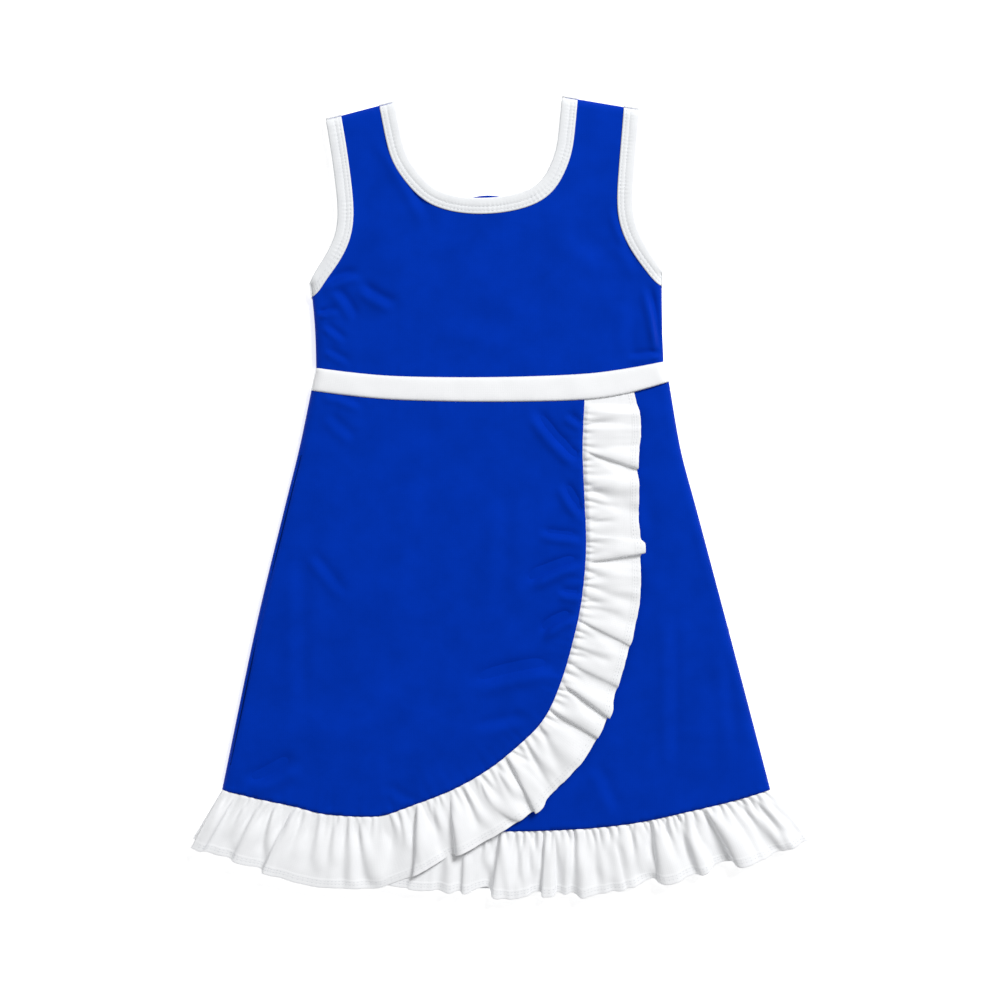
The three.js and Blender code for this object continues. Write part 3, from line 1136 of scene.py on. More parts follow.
@dataclass(frozen=True)
class StitchRow:
    """A row of lockstitches: short strands that dip into the cloth at both ends."""

    across: float
    pitch: float = 2.7
    strand: float = 2.2
    width: float = 0.42
    proud: float = 0.34

    def strands(self, surface: Surface, stations: Points, side: float) -> tuple[Points, list]:
        """Makes the row's strands on a surface.

        Args:
            surface: gives the cloth's middle for lengths along a seam and across it.
            stations: where along the seam each strand is centred.
            side: which way up the strands lie, 1 or -1.

        Returns:
            The strands' points and faces.
        """
        across = np.full_like(stations, self.across)
        nudge, sides = 0.4, 6
        centre = surface(stations, across)
        ahead = surface(stations + nudge, across) - surface(stations - nudge, across)
        beside = surface(stations, across + nudge) - surface(stations, across - nudge)
        ahead /= np.linalg.norm(ahead, axis=1, keepdims=True)
        up = np.cross(ahead, beside)
        up /= np.linalg.norm(up, axis=1, keepdims=True)
        up *= side * np.sign(up[:, 2:3].mean())
        over = np.cross(up, ahead)
        turns = np.linspace(0, 2 * np.pi, sides, endpoint=False)
        rings = []
        for share, girth in ((-1.0, 0.35), (-0.55, 1.0), (0.55, 1.0), (1.0, 0.35)):
            lift = self.proud * (1 - 0.75 * share**4)
            rings.append(np.column_stack([
                np.full(sides, share * self.strand / 2),
                np.cos(turns) * girth * self.width / 2,
                np.sin(turns) * girth * self.width / 2 + lift,
            ]))
        shape = np.vstack(rings)
        points = (
            centre[:, None]
            + shape[None, :, 0:1] * ahead[:, None]
            + shape[None, :, 1:2] * over[:, None]
            + shape[None, :, 2:3] * up[:, None]
        )
        faces = tube_faces(len(rings), sides)
        first = len(shape) * np.arange(len(stations))
        every = [tuple(start + c for c in face) for start in first.tolist() for face in faces]
        return points.reshape(-1, 3), every


def sew(name: str, rows: Sequence[StitchRow], surface: Surface, span: tuple[float, float],
        side: float = 1.0, folds_with_wrap: bool = False) -> bpy.types.Object:
    """Sews rows of stitches onto a surface as one piece.

    Args:
        name: the piece's name.
        rows: the rows, each at its place across the surface.
        surface: gives the cloth's middle for lengths along a seam and across it.
        span: where along the seam the rows start and end.
        side: which face of the cloth they lie on, 1 for the upper and -1 for the lower.
        folds_with_wrap: whether the piece has its place baked in instead of being tied to the dress's body.

    Returns:
        The object.
    """
    points, faces, total = [], [], 0
    for number, row in enumerate(rows):
        first = span[0] + row.pitch * (0.5 + 0.37 * number)
        stations = np.arange(first, span[1] - row.pitch / 2, row.pitch)
        made, quads = row.strands(surface, stations, side)
        points.append(made)
        faces += [tuple(total + c for c in face) for face in quads]
        total += len(made)
    every = np.vstack(points)
    return Piece(name, every, faces, every[:, :2], THREAD, folds_with_wrap=folds_with_wrap).build()


# ---- Bound edges ---------------------------------------------------------------------------------


@dataclass(frozen=True)
class Binding:
    """A strip folded over a raw edge and sewn down with a twin needle.

    Attributes:
        name: the CAD node that it stands for.
        edge: the fold, travelled with the cloth on its right.
        face: which layer of the dress it binds.
        lie: how the layers lie.
        meets: the seams that its ends are caught in, travelled away from the edge.
        width: how wide it is when folded.
        half_stack: half the height of what it is folded round.
        rows: how far from the fold each row of stitches lies.
        thickness: its cloth's thickness.
        step: the spacing of its mesh along the edge.
        turn_length: how far from an end it starts to lean towards the seam there.
        lap: how far it runs on past the seams.
        ripple: how high the ripples are that the stitches draw up.
        groove: how deep the stitches sink.
        tuck: how far its turned edge drops.
    """

    name: str
    edge: Seam
    face: Face
    lie: Lie
    meets: tuple[Seam, Seam]
    width: float = 12.0
    half_stack: float = 1.05
    rows: tuple[float, float] = (6.6, 9.9)
    thickness: float = 0.6
    step: float = 0.8
    turn_length: float = 26.0
    lap: float = 0.8
    ripple: float = 0.15
    groove: float = 0.16
    tuck: float = 0.45

    @property
    def bulge(self) -> float:
        """How far the outer ply puffs up, which is less on the back, where the dress lies on it."""
        return 0.35 if self.face is Face.FRONT else 0.12

    def section(self) -> tuple[Points, Points, Points]:
        """The folded strip's section, from its inner edge round the fold to its outer edge.

        Returns:
            Distances from the fold, heights from the panel's middle, and lengths of cloth.
        """
        inner = np.linspace(self.width - 0.6, self.half_stack, 10)
        bend = np.linspace(-np.pi / 2, np.pi / 2, 9)[1:-1]
        outer = np.linspace(self.half_stack, self.width, 26)
        across = np.concatenate([inner, self.half_stack * (1 - np.cos(bend)), outer])
        height = np.concatenate([
            np.full(len(inner), -self.half_stack),
            self.half_stack * np.sin(bend),
            self.half_stack + self.top_profile(outer),
        ])
        cloth = np.concatenate([[0.0], np.cumsum(np.hypot(np.diff(across), np.diff(height)))])
        return across, height, cloth

    def top_profile(self, across: Points) -> Points:
        """How the outer ply rises and dips between the fold, the stitch rows and its edge.

        Args:
            across: distances from the fold.

        Returns:
            The rise at each.
        """
        puff = self.bulge * np.sin(np.pi * np.clip((across - 0.8) / (self.rows[0] - 0.8), 0, 1)) ** 0.8
        between = 0.3 * self.bulge * np.exp(-((across - sum(self.rows) / 2) ** 2))
        grooves = sum(np.exp(-(((across - row) / 0.55) ** 2)) for row in self.rows)
        tuck = self.tuck * smooth((across - self.width + 0.9) / 0.9)
        return puff + between - self.groove * grooves - tuck

    def slant(self, stations: Points) -> Points:
        """How far along the edge the strip leans for each millimetre in, so that its ends meet seams.

        Args:
            stations: lengths along the edge.

        Returns:
            The lean at each.
        """
        lean = np.zeros(np.shape(stations))
        for end, seam in zip((0.0, self.edge.length), self.meets):
            along, into = self.edge.heading(end), self.edge.outward(np.array(end))
            cut = seam.at(12.0) - seam.at(0.0)
            near = np.clip(1 - np.abs(stations - end) / self.turn_length, 0, 1)
            lean += (cut @ along) / (cut @ into) * near
        return lean

    def narrowed(self, stations: Points) -> Points:
        """The share of its width that the strip keeps where it is pulled into a slanting seam.

        Args:
            stations: lengths along the edge.

        Returns:
            The share at each.
        """
        share = np.ones(np.shape(stations))
        for end, seam in zip((0.0, self.edge.length), self.meets):
            into = self.edge.outward(np.array(end))
            cut = seam.at(12.0) - seam.at(0.0)
            square = abs(float(cut @ into)) / float(np.hypot(*cut))
            share = share - 1.1 * (1 - square) * np.exp(-np.abs(stations - end) / 11.0)
        return share

    def place(self, stations: Points, across: Points, height: Points) -> Points:
        """Where points of the strip lie, for lengths along the edge, distances in, and heights.

        Args:
            stations: lengths along the edge.
            across: distances in from the fold.
            height: heights from the panel's middle.

        Returns:
            The points.
        """
        across = across * self.narrowed(stations)
        along = stations + across * self.slant(stations)
        flat = self.edge.at(along) + across[..., None] * self.edge.outward(stations)
        base, openness = self.lie.height(PANEL_PLY[self.face], flat)
        turns = stations / StitchRow.pitch
        ripple = self.ripple * np.cos(2 * np.pi * turns + 2.5 * drifting(stations, 21.0, 11))
        ripple = ripple * (0.6 + 0.4 * drifting(stations, 13.0, 12)) * smooth((across - 1.5) / 4.0)
        ripple = ripple * smooth((self.width + 0.6 - across) / 2.0) * (height > 0)
        lift = self.face.value * (height + ripple) * (0.3 + 0.7 * openness)
        return np.concatenate([flat, (base + lift)[..., None]], axis=-1)

    def outer_surface(self, stations: Points, across: Points) -> Points:
        """The outer ply's middle, for the stitches."""
        return self.place(stations, across, self.half_stack + self.top_profile(across))

    def build(self) -> bpy.types.Object:
        """Makes the strip and its two rows of stitches.

        Returns:
            The strip.
        """
        across, height, cloth = self.section()
        count = round(self.edge.length / self.step) + 1
        stations = np.linspace(-self.lap, self.edge.length + self.lap, count)
        along = np.repeat(stations[:, None], len(across), axis=1)
        shape = np.ones((count, 1))
        points = self.place(along, across * shape, height * shape)
        faces = grid_faces(count, len(across))
        strip = Piece(
            f"{self.name}_strip", points.reshape(-1, 3), faces,
            np.stack([cloth * shape, along], axis=-1).reshape(-1, 2), WHITE_BINDING, self.thickness,
            [self.name],
        ).build()
        rows = [StitchRow(row) for row in self.rows]
        stitches = sew(
            f"{self.name}_stitches", rows, self.outer_surface, (0, self.edge.length), self.face.value
        )
        return strip


# ---- Waistband -----------------------------------------------------------------------------------


@dataclass(frozen=True)
class Waistband:
    """One layer of the inset waistband, with both long edges turned under.

    Attributes:
        name: the piece's name.
        pattern: the dress's cut.
        lie: how the layers lie.
        ply: the height of this one.
        outward: which way its outside faces, 1 for up and -1 for down.
        stands_for: the CAD node that it stands for.
        rests_on: names of what it lies on; not used.
        puff: how far its middle stands out.
        edge_drop: how far its edges drop.
        ripple: how high its soft unevenness is.
        pucker: how high the ripples are that its seams draw up.
        stitch_draw: how long those ripples are.
        thickness: its cloth's thickness.
        step: the spacing of its mesh along the waist.
    """

    name: str
    pattern: Pattern
    lie: Lie
    ply: Ply
    outward: float
    stands_for: str
    rests_on: Sequence[str]
    puff: float = 0.55
    edge_drop: float = 0.55
    ripple: float = 0.22
    pucker: float = 0.12
    stitch_draw: float = 5.2
    thickness: float = 0.8
    step: float = 1.6

    def build(self) -> bpy.types.Object:
        """Makes the band.

        Returns:
            The object.
        """
        lower, upper = self.pattern.waist_line(False), self.pattern.waist_line(True)
        rows, columns = round(lower.length / self.step) + 1, 19
        along, across = np.linspace(0, 1, rows), np.linspace(0, 1, columns)
        bottom, top = lower.at(along * lower.length), upper.at(along * upper.length)
        places = bottom[:, None] + across[None, :, None] * (top - bottom)[:, None]
        height, openness = self.lie.height(self.ply, places)
        edge = np.abs(2 * across - 1)
        profile = self.puff * (1 - edge**4) - self.edge_drop * smooth((edge - 0.86) / 0.14)
        station = (along * lower.length)[:, None]
        ripple = self.ripple * drifting(station, 26.0, 21) * (1 - edge**2)
        pucker = self.pucker * np.cos(2 * np.pi * station / self.stitch_draw) * edge**6
        height += self.outward * (profile + ripple + pucker) * openness
        cloth = np.stack(np.broadcast_arrays(station, across * self.pattern.waistband_depth), axis=-1)
        band = Piece(
            self.name, np.concatenate([places, height[..., None]], axis=-1).reshape(-1, 3),
            grid_faces(rows, columns), cloth.reshape(-1, 2), WHITE_KNIT, self.thickness,
            [self.stands_for],
        ).build()
        return band


# ---- Ruffles -------------------------------------------------------------------------------------


@dataclass(frozen=True)
class Fold:
    """A fold across a ruffle, from its seam to its free edge, that lies over towards one side.

    Attributes:
        start: where along the seam it begins.
        end: where along the seam it would be at the free edge.
        toward: which way it lies over, 1 for the way of travel and -1 against it.
        overlap: how far the cloth slides under it.
        height: how high it stands.
        shows: the shares of the way from seam to free edge where it starts and ends.
        spread: how wide it is.
        bow: how far its middle bends along the seam.
        out: how far it pushes the free edge out.
    """

    start: float
    end: float
    toward: int = 1
    overlap: float = 0.0
    height: float = 1.0
    shows: tuple[float, float] = (0.0, 1.0)
    spread: float = 7.0
    bow: float = 0.0
    out: float = 0.0


HEM_STITCHES = StitchRow(0.0, pitch=2.3, strand=1.9, width=0.36, proud=0.38)


@dataclass(frozen=True)
class Ruffle:
    """A gathered strip of knit with a twin-needle hem.

    Attributes:
        name: the piece's name.
        seam: the seam that it hangs from.
        lie: how the layers lie.
        ply: the height of the panel at that seam.
        free_side: which side of the seam it falls to, 1 for the right of travel and -1 for the left.
        depths: pairs of a length along the seam and the depth there.
        folds: its large folds.
        flares: how far it is turned at the seam's start and at its end, in radians.
        rise: how far it stands above the panel.
        stands_for: the CAD nodes that it stands for.
        rests_on: the name of what it lies on; not used.
        fullness: how much longer the strip is than the seam.
        start: where along the seam it starts.
        settle: over what length from there its folds grow.
        emerges: over what length it comes out from under the waistband, if it does.
        under_band: its height there.
        dip: how far its hollows may sink below the panel.
        folds_with_wrap: whether it has its place baked in instead of being tied to the dress's body.
        seed: the seed of its small gathers and waves.
        amounts: how strong its relief is, near the seam's start and near its end.
        puffs: how far it puffs up beside the seam, in the same way.
        wave: how strong its broad waves are.
        sway: how far the free edge moves in and out with the relief.
        tucked: how far it runs on under the panel.
        sunk: how far it sinks into the seam.
        hem: the depth of its hem.
        hem_rows: how far from the free edge each row of stitches lies.
        hem_ridge: how much thicker the hem is.
        hem_groove: how deep the stitches sink.
        gather_spacing: the least and greatest distance from one gather to the next.
        gather_width: the least and greatest half width of a gather.
        gather_slant: how far a gather usually leans along the seam.
        thickness: its cloth's thickness.
        step: the spacing of its mesh along the seam.
        rows: how many rows its mesh has between seam and hem.
    """

    name: str
    seam: Seam
    lie: Lie
    ply: Ply
    free_side: int
    depths: Sequence[tuple[float, float]]
    folds: Sequence[Fold]
    flares: tuple[float, float]
    rise: float
    stands_for: Sequence[str]
    rests_on: str
    fullness: float = 1.45
    start: float = 0.0
    settle: float = 0.0
    emerges: float = 0.0
    under_band: float = -0.4
    dip: float = 3.0
    folds_with_wrap: bool = False
    seed: int = 1
    amounts: tuple[float, float] = (1.0, 1.0)
    puffs: tuple[float, float] = (0.35, 0.35)
    wave: float = 1.0
    sway: float = 0.75
    tucked: float = 3.0
    sunk: float = 0.9
    hem: float = 6.5
    hem_rows: tuple[float, float] = (3.0, 5.0)
    hem_ridge: float = 0.2
    hem_groove: float = 0.09
    gather_spacing: tuple[float, float] = (3.2, 8.6)
    gather_width: tuple[float, float] = (1.1, 1.8)
    gather_slant: float = 6.0
    thickness: float = 0.7
    step: float = 0.85
    rows: int = 24

    def depth(self, station: Points) -> Points:
        """How deep the ruffle is at these lengths along its seam."""
        places, depths = np.array(self.depths).T
        return np.interp(station, places, depths)

    def between(self, pair: tuple[float, float], station: Points) -> Points:
        """A value that changes from the first of a pair to the second in the middle of the seam."""
        return pair[0] + (pair[1] - pair[0]) * smooth(4 * station / self.seam.length - 1.2)

    def turn(self, station: Points) -> Points:
        """How far the ruffle is turned outward there, in radians."""
        share = np.clip(2 * station / self.seam.length - 1, -1, 1) ** 3
        return np.where(share < 0, -share * self.flares[0], share * self.flares[1])

    def folded(self, station: Points, down: Points) -> tuple[Points, Points]:
        """What the folds do to the cloth.

        Args:
            station: lengths along the seam.
            down: shares of the way from the seam to the free edge.

        Returns:
            How far the cloth slides along the seam, and how far it rises.
        """
        slide, lift = (np.zeros(np.broadcast(station, down).shape) for _ in range(2))
        for fold in self.folds:
            centre = fold.start + (fold.end - fold.start) * down + fold.bow * 4 * down * (1 - down)
            offset = (station - centre) * fold.toward
            grown = smooth((down - fold.shows[0]) / 0.35 + 0.3) * smooth((fold.shows[1] - down) / 0.25 + 1)
            spread = fold.spread * (0.32 + 0.68 * smooth(down / 0.85))
            crest = np.exp(-(((offset + 0.55 * spread) / spread) ** 2))
            valley = np.exp(-(((offset - 0.5 * spread) / (0.75 * spread)) ** 2))
            lift += fold.height * grown * (crest - 1.15 * valley) * (0.6 + 0.4 * down)
            near = np.exp(-((offset / (0.9 * spread)) ** 2)) * grown
            pull = fold.toward * fold.overlap * np.tanh(offset / (0.35 * spread))
            slide -= pull * near * (0.2 + 0.8 * down)
        return slide, lift

    def pushed_out(self, station: Points, down: Points) -> Points:
        """How far the folds' standing sides push the free edge out past its neighbours.

        Args:
            station: lengths along the seam.
            down: shares of the way from the seam to the free edge.

        Returns:
            The distance at each.
        """
        total = np.zeros(np.broadcast(station, down).shape)
        for fold in self.folds:
            if fold.out:
                offset = (station - fold.end) * fold.toward + 0.5 * fold.spread
                total += fold.out * np.exp(-((offset / (0.8 * fold.spread)) ** 4)) * down**3
        return total

    def gathers(self, station: Points, down: Points) -> Points:
        """The crowded little valleys, of many lengths, where the strip is drawn up at its seam.

        Args:
            station: lengths along the seam.
            down: shares of the way from the seam to the free edge.

        Returns:
            The height that they add.
        """
        draw = np.random.default_rng(self.seed)
        relief = np.zeros(np.broadcast(station, down).shape)
        place = self.start
        while place < self.seam.length:
            length = 0.15 + 0.45 * draw.random() ** 1.8
            depth = 1.0 + 1.3 * draw.random()
            slant, width = draw.normal(0, self.gather_slant), draw.uniform(*self.gather_width)
            offset = station - place - slant * down
            fade = np.exp(-((down / length) ** 2))
            relief -= depth * fade * np.exp(-((offset / (width + 5.0 * down)) ** 2))
            place += draw.uniform(*self.gather_spacing)
        return relief + 0.35 * np.exp(-((down / 0.3) ** 2))

    def waves(self, station: Points, down: Points) -> Points:
        """The broad, soft waves of the free edge.

        Args:
            station: lengths along the seam.
            down: shares of the way from the seam to the free edge.

        Returns:
            The height that they add.
        """
        skew = 8.0 * drifting(station, 60.0, self.seed + 3) * down
        first = drifting(station + skew, 9.0, self.seed + 4)
        second = drifting(station - skew, 17.0, self.seed + 6)
        return smooth(down / 0.6) * (0.5 * first + second)

    def surface(self, station: Points, out: Points) -> Points:
        """The cloth's middle, for lengths along the seam and millimetres out from it.

        Args:
            station: lengths along the seam.
            out: distances from the seam, measured on the cloth.

        Returns:
            The points, in millimetres.
        """
        depth = self.depth(station)
        down = np.clip(out / depth, 0, 1.05)
        slide, lift = self.folded(station, down)
        held = smooth((station - self.start) / 9) * smooth((self.seam.length - station) / 9)
        calm = smooth((station + 3) / self.settle) if self.settle else 1.0
        relief = self.between(self.amounts, station) * calm * (
            lift + self.gathers(station, down) + self.wave * self.waves(station, down)
        )
        reach = (self.sway * relief + 0.15 * drifting(station, 5.0, self.seed + 8)) * down**2
        reach = reach + self.pushed_out(station, down)
        along = station + slide * held * calm
        direction = turned(self.seam.outward(along) * self.free_side, self.turn(along))
        flat = self.seam.at(along) + (out + reach * held)[..., None] * direction
        base, openness = self.lie.height(self.ply, flat)
        rising = smooth(out / 1.2)
        puff = self.between(self.puffs, station) * smooth(out / 3.5) * (1 - 0.6 * smooth(down))
        tuck = self.sunk * (1 - smooth(out / 1.8 + 0.45))
        inset = depth - out
        hem = self.hem_ridge * smooth((self.hem + 0.6 - inset) / 1.2)
        for row in self.hem_rows:
            hem = hem - self.hem_groove * np.exp(-(((inset - row) / 0.45) ** 2))
        sinking = np.minimum(relief, 0) * smooth(out / 0.8 + 0.5)
        raised = self.rise * smooth(1.6 * down) + np.maximum(relief, 0) * rising + sinking + puff
        top = no_lower(raised * openness, -self.dip, 0.35) - tuck + hem
        if self.emerges:
            top = self.under_band + (top - self.under_band) * smooth(station / self.emerges)
        return np.concatenate([flat, (base + top)[..., None]], axis=-1)

    def rows_out(self, depth: Points) -> Points:
        """How far out each row of the mesh lies, with closer rows by the seam and in the hem.

        Args:
            depth: how deep the ruffle is along its seam.

        Returns:
            The distances out, a row for each depth.
        """
        near = np.arange(-self.tucked, 7.6, 0.9)
        hem = np.arange(self.hem + 1.5, -0.01, -0.5)
        middle = np.linspace(0, 1, self.rows)[1:-1]
        start, end = near[-1], depth[:, None] - hem[0]
        seam_rows = np.broadcast_to(near, (len(depth), len(near)))
        return np.hstack([seam_rows, start + (end - start) * middle, depth[:, None] - hem])

    def hem_line(self, inset: float) -> Surface:
        """The surface for a row of stitches that is sewn this far in from the free edge."""
        return lambda station, across: self.surface(station, self.depth(station) - inset + across)

    def build(self) -> bpy.types.Object:
        """Makes the ruffle and the stitches of its hem.

        Returns:
            The ruffle.
        """
        count = round((self.seam.length - self.start) / self.step) + 1
        stations = np.linspace(self.start, self.seam.length, count)
        depth = self.depth(stations)
        out = self.rows_out(depth)
        along = np.repeat(stations[:, None], out.shape[1], axis=1)
        points = self.surface(along, out)
        faces = grid_faces(count, out.shape[1])
        if self.free_side < 0:
            faces = [face[::-1] for face in faces]
        cloth = np.stack([along * self.fullness, out], axis=-1)
        strip = Piece(
            self.name, points.reshape(-1, 3), faces, cloth.reshape(-1, 2), WHITE_KNIT,
            self.thickness, self.stands_for, self.folds_with_wrap,
        ).build()
        for number, inset in enumerate(self.hem_rows):
            sew(
                f"{self.name}_stitches_{number}", [HEM_STITCHES], self.hem_line(inset),
                (self.start + 2, self.seam.length - 1), 1.0, self.folds_with_wrap,
            )
        return strip


# The folds of the wrap ruffle, from the waistband down and round to the left end of the hem.
WRAP_FOLDS = (
    Fold(37, 53, 1, 3.0, 1.5), Fold(58, 60, -1, 0.8, 0.6), Fold(63, 82, 1, 0.0, 1.1, spread=10),
    Fold(76, 83, 1, 0.4, 0.7, (0, 0.5), 5), Fold(92, 90, 1, 0.0, 0.5, (0, 0.4), 4),
    Fold(103, 107, -1, 1.8, 0.9, (0.1, 1)), Fold(124, 115, 1, 3.2, 1.9, spread=7.5, out=3.0),
    Fold(141, 146, 1, 0.0, 0.7, (0, 0.8), 6), Fold(155, 158, 1, 0.3, 0.7, (0, 0.6), 5),
    Fold(168, 178, 1, 2.2, 1.5), Fold(188, 191, 1, 0.0, 0.7, (0, 0.6), 5), Fold(202, 208, 1, 1.4, 1.3),
    Fold(218, 229, 1, 3.2, 1.9, spread=6.5, out=1.6), Fold(240.5, 242, 1, 2.8, 1.5, spread=6.5),
    Fold(256, 264, 1, 0.2, 1.1, (0, 0.8)), Fold(272, 276, 1, 0.0, 0.6, (0, 0.6), 5),
    Fold(290, 298, 1, 3.2, 2.0, spread=7, out=2.4), Fold(302, 303, 1, 0.2, 0.8, (0, 0.6), 5),
    Fold(314, 309, 1, 1.2, 1.1, spread=7, bow=7.0), Fold(330, 332, 1, 0.2, 1.35, (0, 0.6), 5),
    Fold(342, 354, 1, 3.4, 2.56, spread=10), Fold(356, 362, 1, 0.0, 0.8, (0, 0.7), 5),
    Fold(368, 388, 1, 2.8, 2.16), Fold(383, 389, 1, 0.0, 0.7, (0, 0.5), 5),
    Fold(389, 401, -1, 1.2, 0.8, (0.2, 1)), Fold(415, 405, 1, 0.5, 1.49, (0, 0.8), 6),
    Fold(423, 418, 1, 0.0, 0.9, (0, 0.8), 6), Fold(433, 431, 1, 0.0, 0.7, (0, 0.5), 5),
    Fold(444, 441, 1, 0.3, 0.9, (0, 0.6), 5), Fold(455, 454, 1, 0.0, 0.6, (0, 0.5), 5),
    Fold(466, 472, 1, 3.6, 2.7, spread=11), Fold(480, 477, 1, 0.5, 1.35, (0, 0.6), 5),
    Fold(492, 494, 1, 1.6, 2.03), Fold(503, 499, 1, 0.2, 0.8, (0, 0.7), 5),
    Fold(511, 514, -1, 2.2, 1.62), Fold(519, 519, 1, 0.0, 0.6, spread=4),
)
# The folds of the hem ruffle that shows, from its left end to its right.
HEM_FOLDS = (
    Fold(24, 18, 1, 1.5, 1.56), Fold(52, 50, -1, 0.6, 1.3), Fold(84, 82, 1, 1.8, 1.69),
    Fold(118, 120, -1, 0.4, 1.3), Fold(150, 150, -1, 1.6, 1.69), Fold(178, 174, -1, 0.6, 1.43),
    Fold(190, 189, -1, 1.6, 1.3, (0.3, 1), 6), Fold(205, 203, -1, 0.0, 0.8, (0, 0.5), 5),
    Fold(218, 211, -1, 3.4, 2.47, spread=10.5), Fold(231, 233, -1, 0.1, 0.9, (0, 0.6), 5),
    Fold(241, 240, -1, 0.0, 0.7, (0, 0.5), 5), Fold(252, 248, -1, 2.6, 2.21, spread=6),
    Fold(259, 258, 1, 1.2, 0.8, spread=4), Fold(275, 274, -1, 0.5, 1.56, spread=6),
    Fold(290, 293, -1, 0.0, 0.9, (0, 0.7), 6), Fold(303, 307, 1, 1.6, 0.9, (0.2, 1)),
    Fold(318, 320, -1, 0.0, 1.3, (0, 0.8), 6), Fold(335, 328, -1, 3.0, 2.34, spread=10.5),
    Fold(346, 345, -1, 0.0, 0.6, (0, 0.5), 5), Fold(355, 356, -1, 0.3, 1.43, (0, 0.9), 6),
    Fold(365, 366, -1, 0.0, 0.6, (0, 0.5), 5), Fold(377, 381, -1, 3.2, 2.47, spread=10.5),
    Fold(391, 398, 1, 0.9, 0.7), Fold(403, 411, -1, 0.2, 1.3, (0, 0.9), 6),
    Fold(414, 421, -1, 0.0, 0.8, (0, 0.6), 5), Fold(422, 429, -1, 0.0, 0.8, (0, 0.7), 5),
)
# The back ruffle's folds, pressed nearly flat under the dress.
BACK_FOLDS = tuple(
    Fold(18.0 + 31.0 * i, 16.0 + 31.0 * i, 1 if i % 2 else -1, 0.4, 0.5) for i in range(14)
)


# ---- The garment's sub-assemblies ----------------------------------------------------------------


@dataclass(frozen=True)
class Bodice:
    """Front and back bodice panels, with bound neck and armholes."""

    pattern: Pattern
    lie: Lie
    tuck: float = 2.2
    front_creases: Sequence[Crease] = (
        Crease((-137, 158), (-104, 170), 3.6, 2.4, 2.0), Crease((-110, 162), (-78, 144), 4.0, 2.2, -2.0),
        Crease((-130, 160), (-112, 134), 3.4, 2.0, 2.0), Crease((-139, 139), (-122, 143), 2.4, 1.9),
        Crease((-136, 132), (-118, 118), 2.6, 1.71), Crease((-135, 113), (-114, 101), 2.6, 1.33),
        Crease((-97, 278), (-56, 204), 4.5, 1.52, 3.0), Crease((87, 226), (101, 188), 3.4, 1.71, -2.0),
        Crease((111, 166), (121, 110), 3.2, 3.0, 1.5), Crease((100, 106), (128, 109), 2.6, 1.8),
        Crease((88, 196), (106, 168), 5.0, 1.0, 2.0), Crease((99, 158), (96, 104), 5.0, 0.9, -2.0),
        Crease((40, 200), (92, 168), 8.0, 0.76), Crease((-60, 130), (20, 118), 9.0, 0.66),
    )

    def outline(self) -> Points:
        """The outline of a bodice panel, anticlockwise, tucked into its trims.

        Returns:
            Its corners, one row each.
        """
        pattern = self.pattern
        left = pattern.side(Side.LEFT, pattern.bodice_side_places)
        right = pattern.side(Side.RIGHT, pattern.bodice_side_places).back_to_front()
        lowered = pattern.waist_line(True).beside() - np.array([0.0, pattern.seam_allowance])
        return np.vstack([
            lowered[1:-1],
            right.beside(),
            pattern.armhole(Side.RIGHT).back_to_front().beside(-self.tuck),
            pattern.neckline.back_to_front().beside(-self.tuck),
            pattern.armhole(Side.LEFT).back_to_front().beside(-self.tuck),
            left.beside(),
        ])

    def build(self) -> None:
        """Makes the panels and their bindings."""
        pattern = self.pattern
        trims = [pattern.neckline, pattern.armhole(Side.LEFT), pattern.armhole(Side.RIGHT)]
        puckers = [Pucker(Seam(trim.beside(12.0)), 5.5, 0.16, 5.0, 40 + i) for i, trim in enumerate(trims)]
        held = [*(Seam(trim.beside(10.0)) for trim in trims), pattern.waist_line(True)]
        puckers.append(Pucker(pattern.waist_line(True), 6.5, 0.3, 7.0, 50))
        for face, creases in ((Face.FRONT, self.front_creases), (Face.BACK, ())):
            name = f"{face.name.lower()}_bodice"
            swell = Swell(0.8 if face is Face.FRONT else 0.2, seed=3)
            Panel(
                f"{name}_cloth", self.outline(), PANEL_PLY[face], [name], [*creases, *puckers, swell], held
            ).build(self.lie, ["back_bodice_cloth" if face is Face.FRONT else "waistband_back_cloth"])
            shoulders = [pattern.shoulder(side) for side in Side]
            Binding(
                f"neck_binding_{face.name.lower()}", pattern.neckline, face, self.lie, tuple(shoulders)
            ).build()
            for side, shoulder in zip(Side, shoulders):
                label = f"armhole_binding_{side.name.lower()}_{face.name.lower()}"
                meets = (shoulder.back_to_front(), pattern.side(side, pattern.bodice_side_places))
                Binding(label, pattern.armhole(side), face, self.lie, meets[:: side.value]).build()


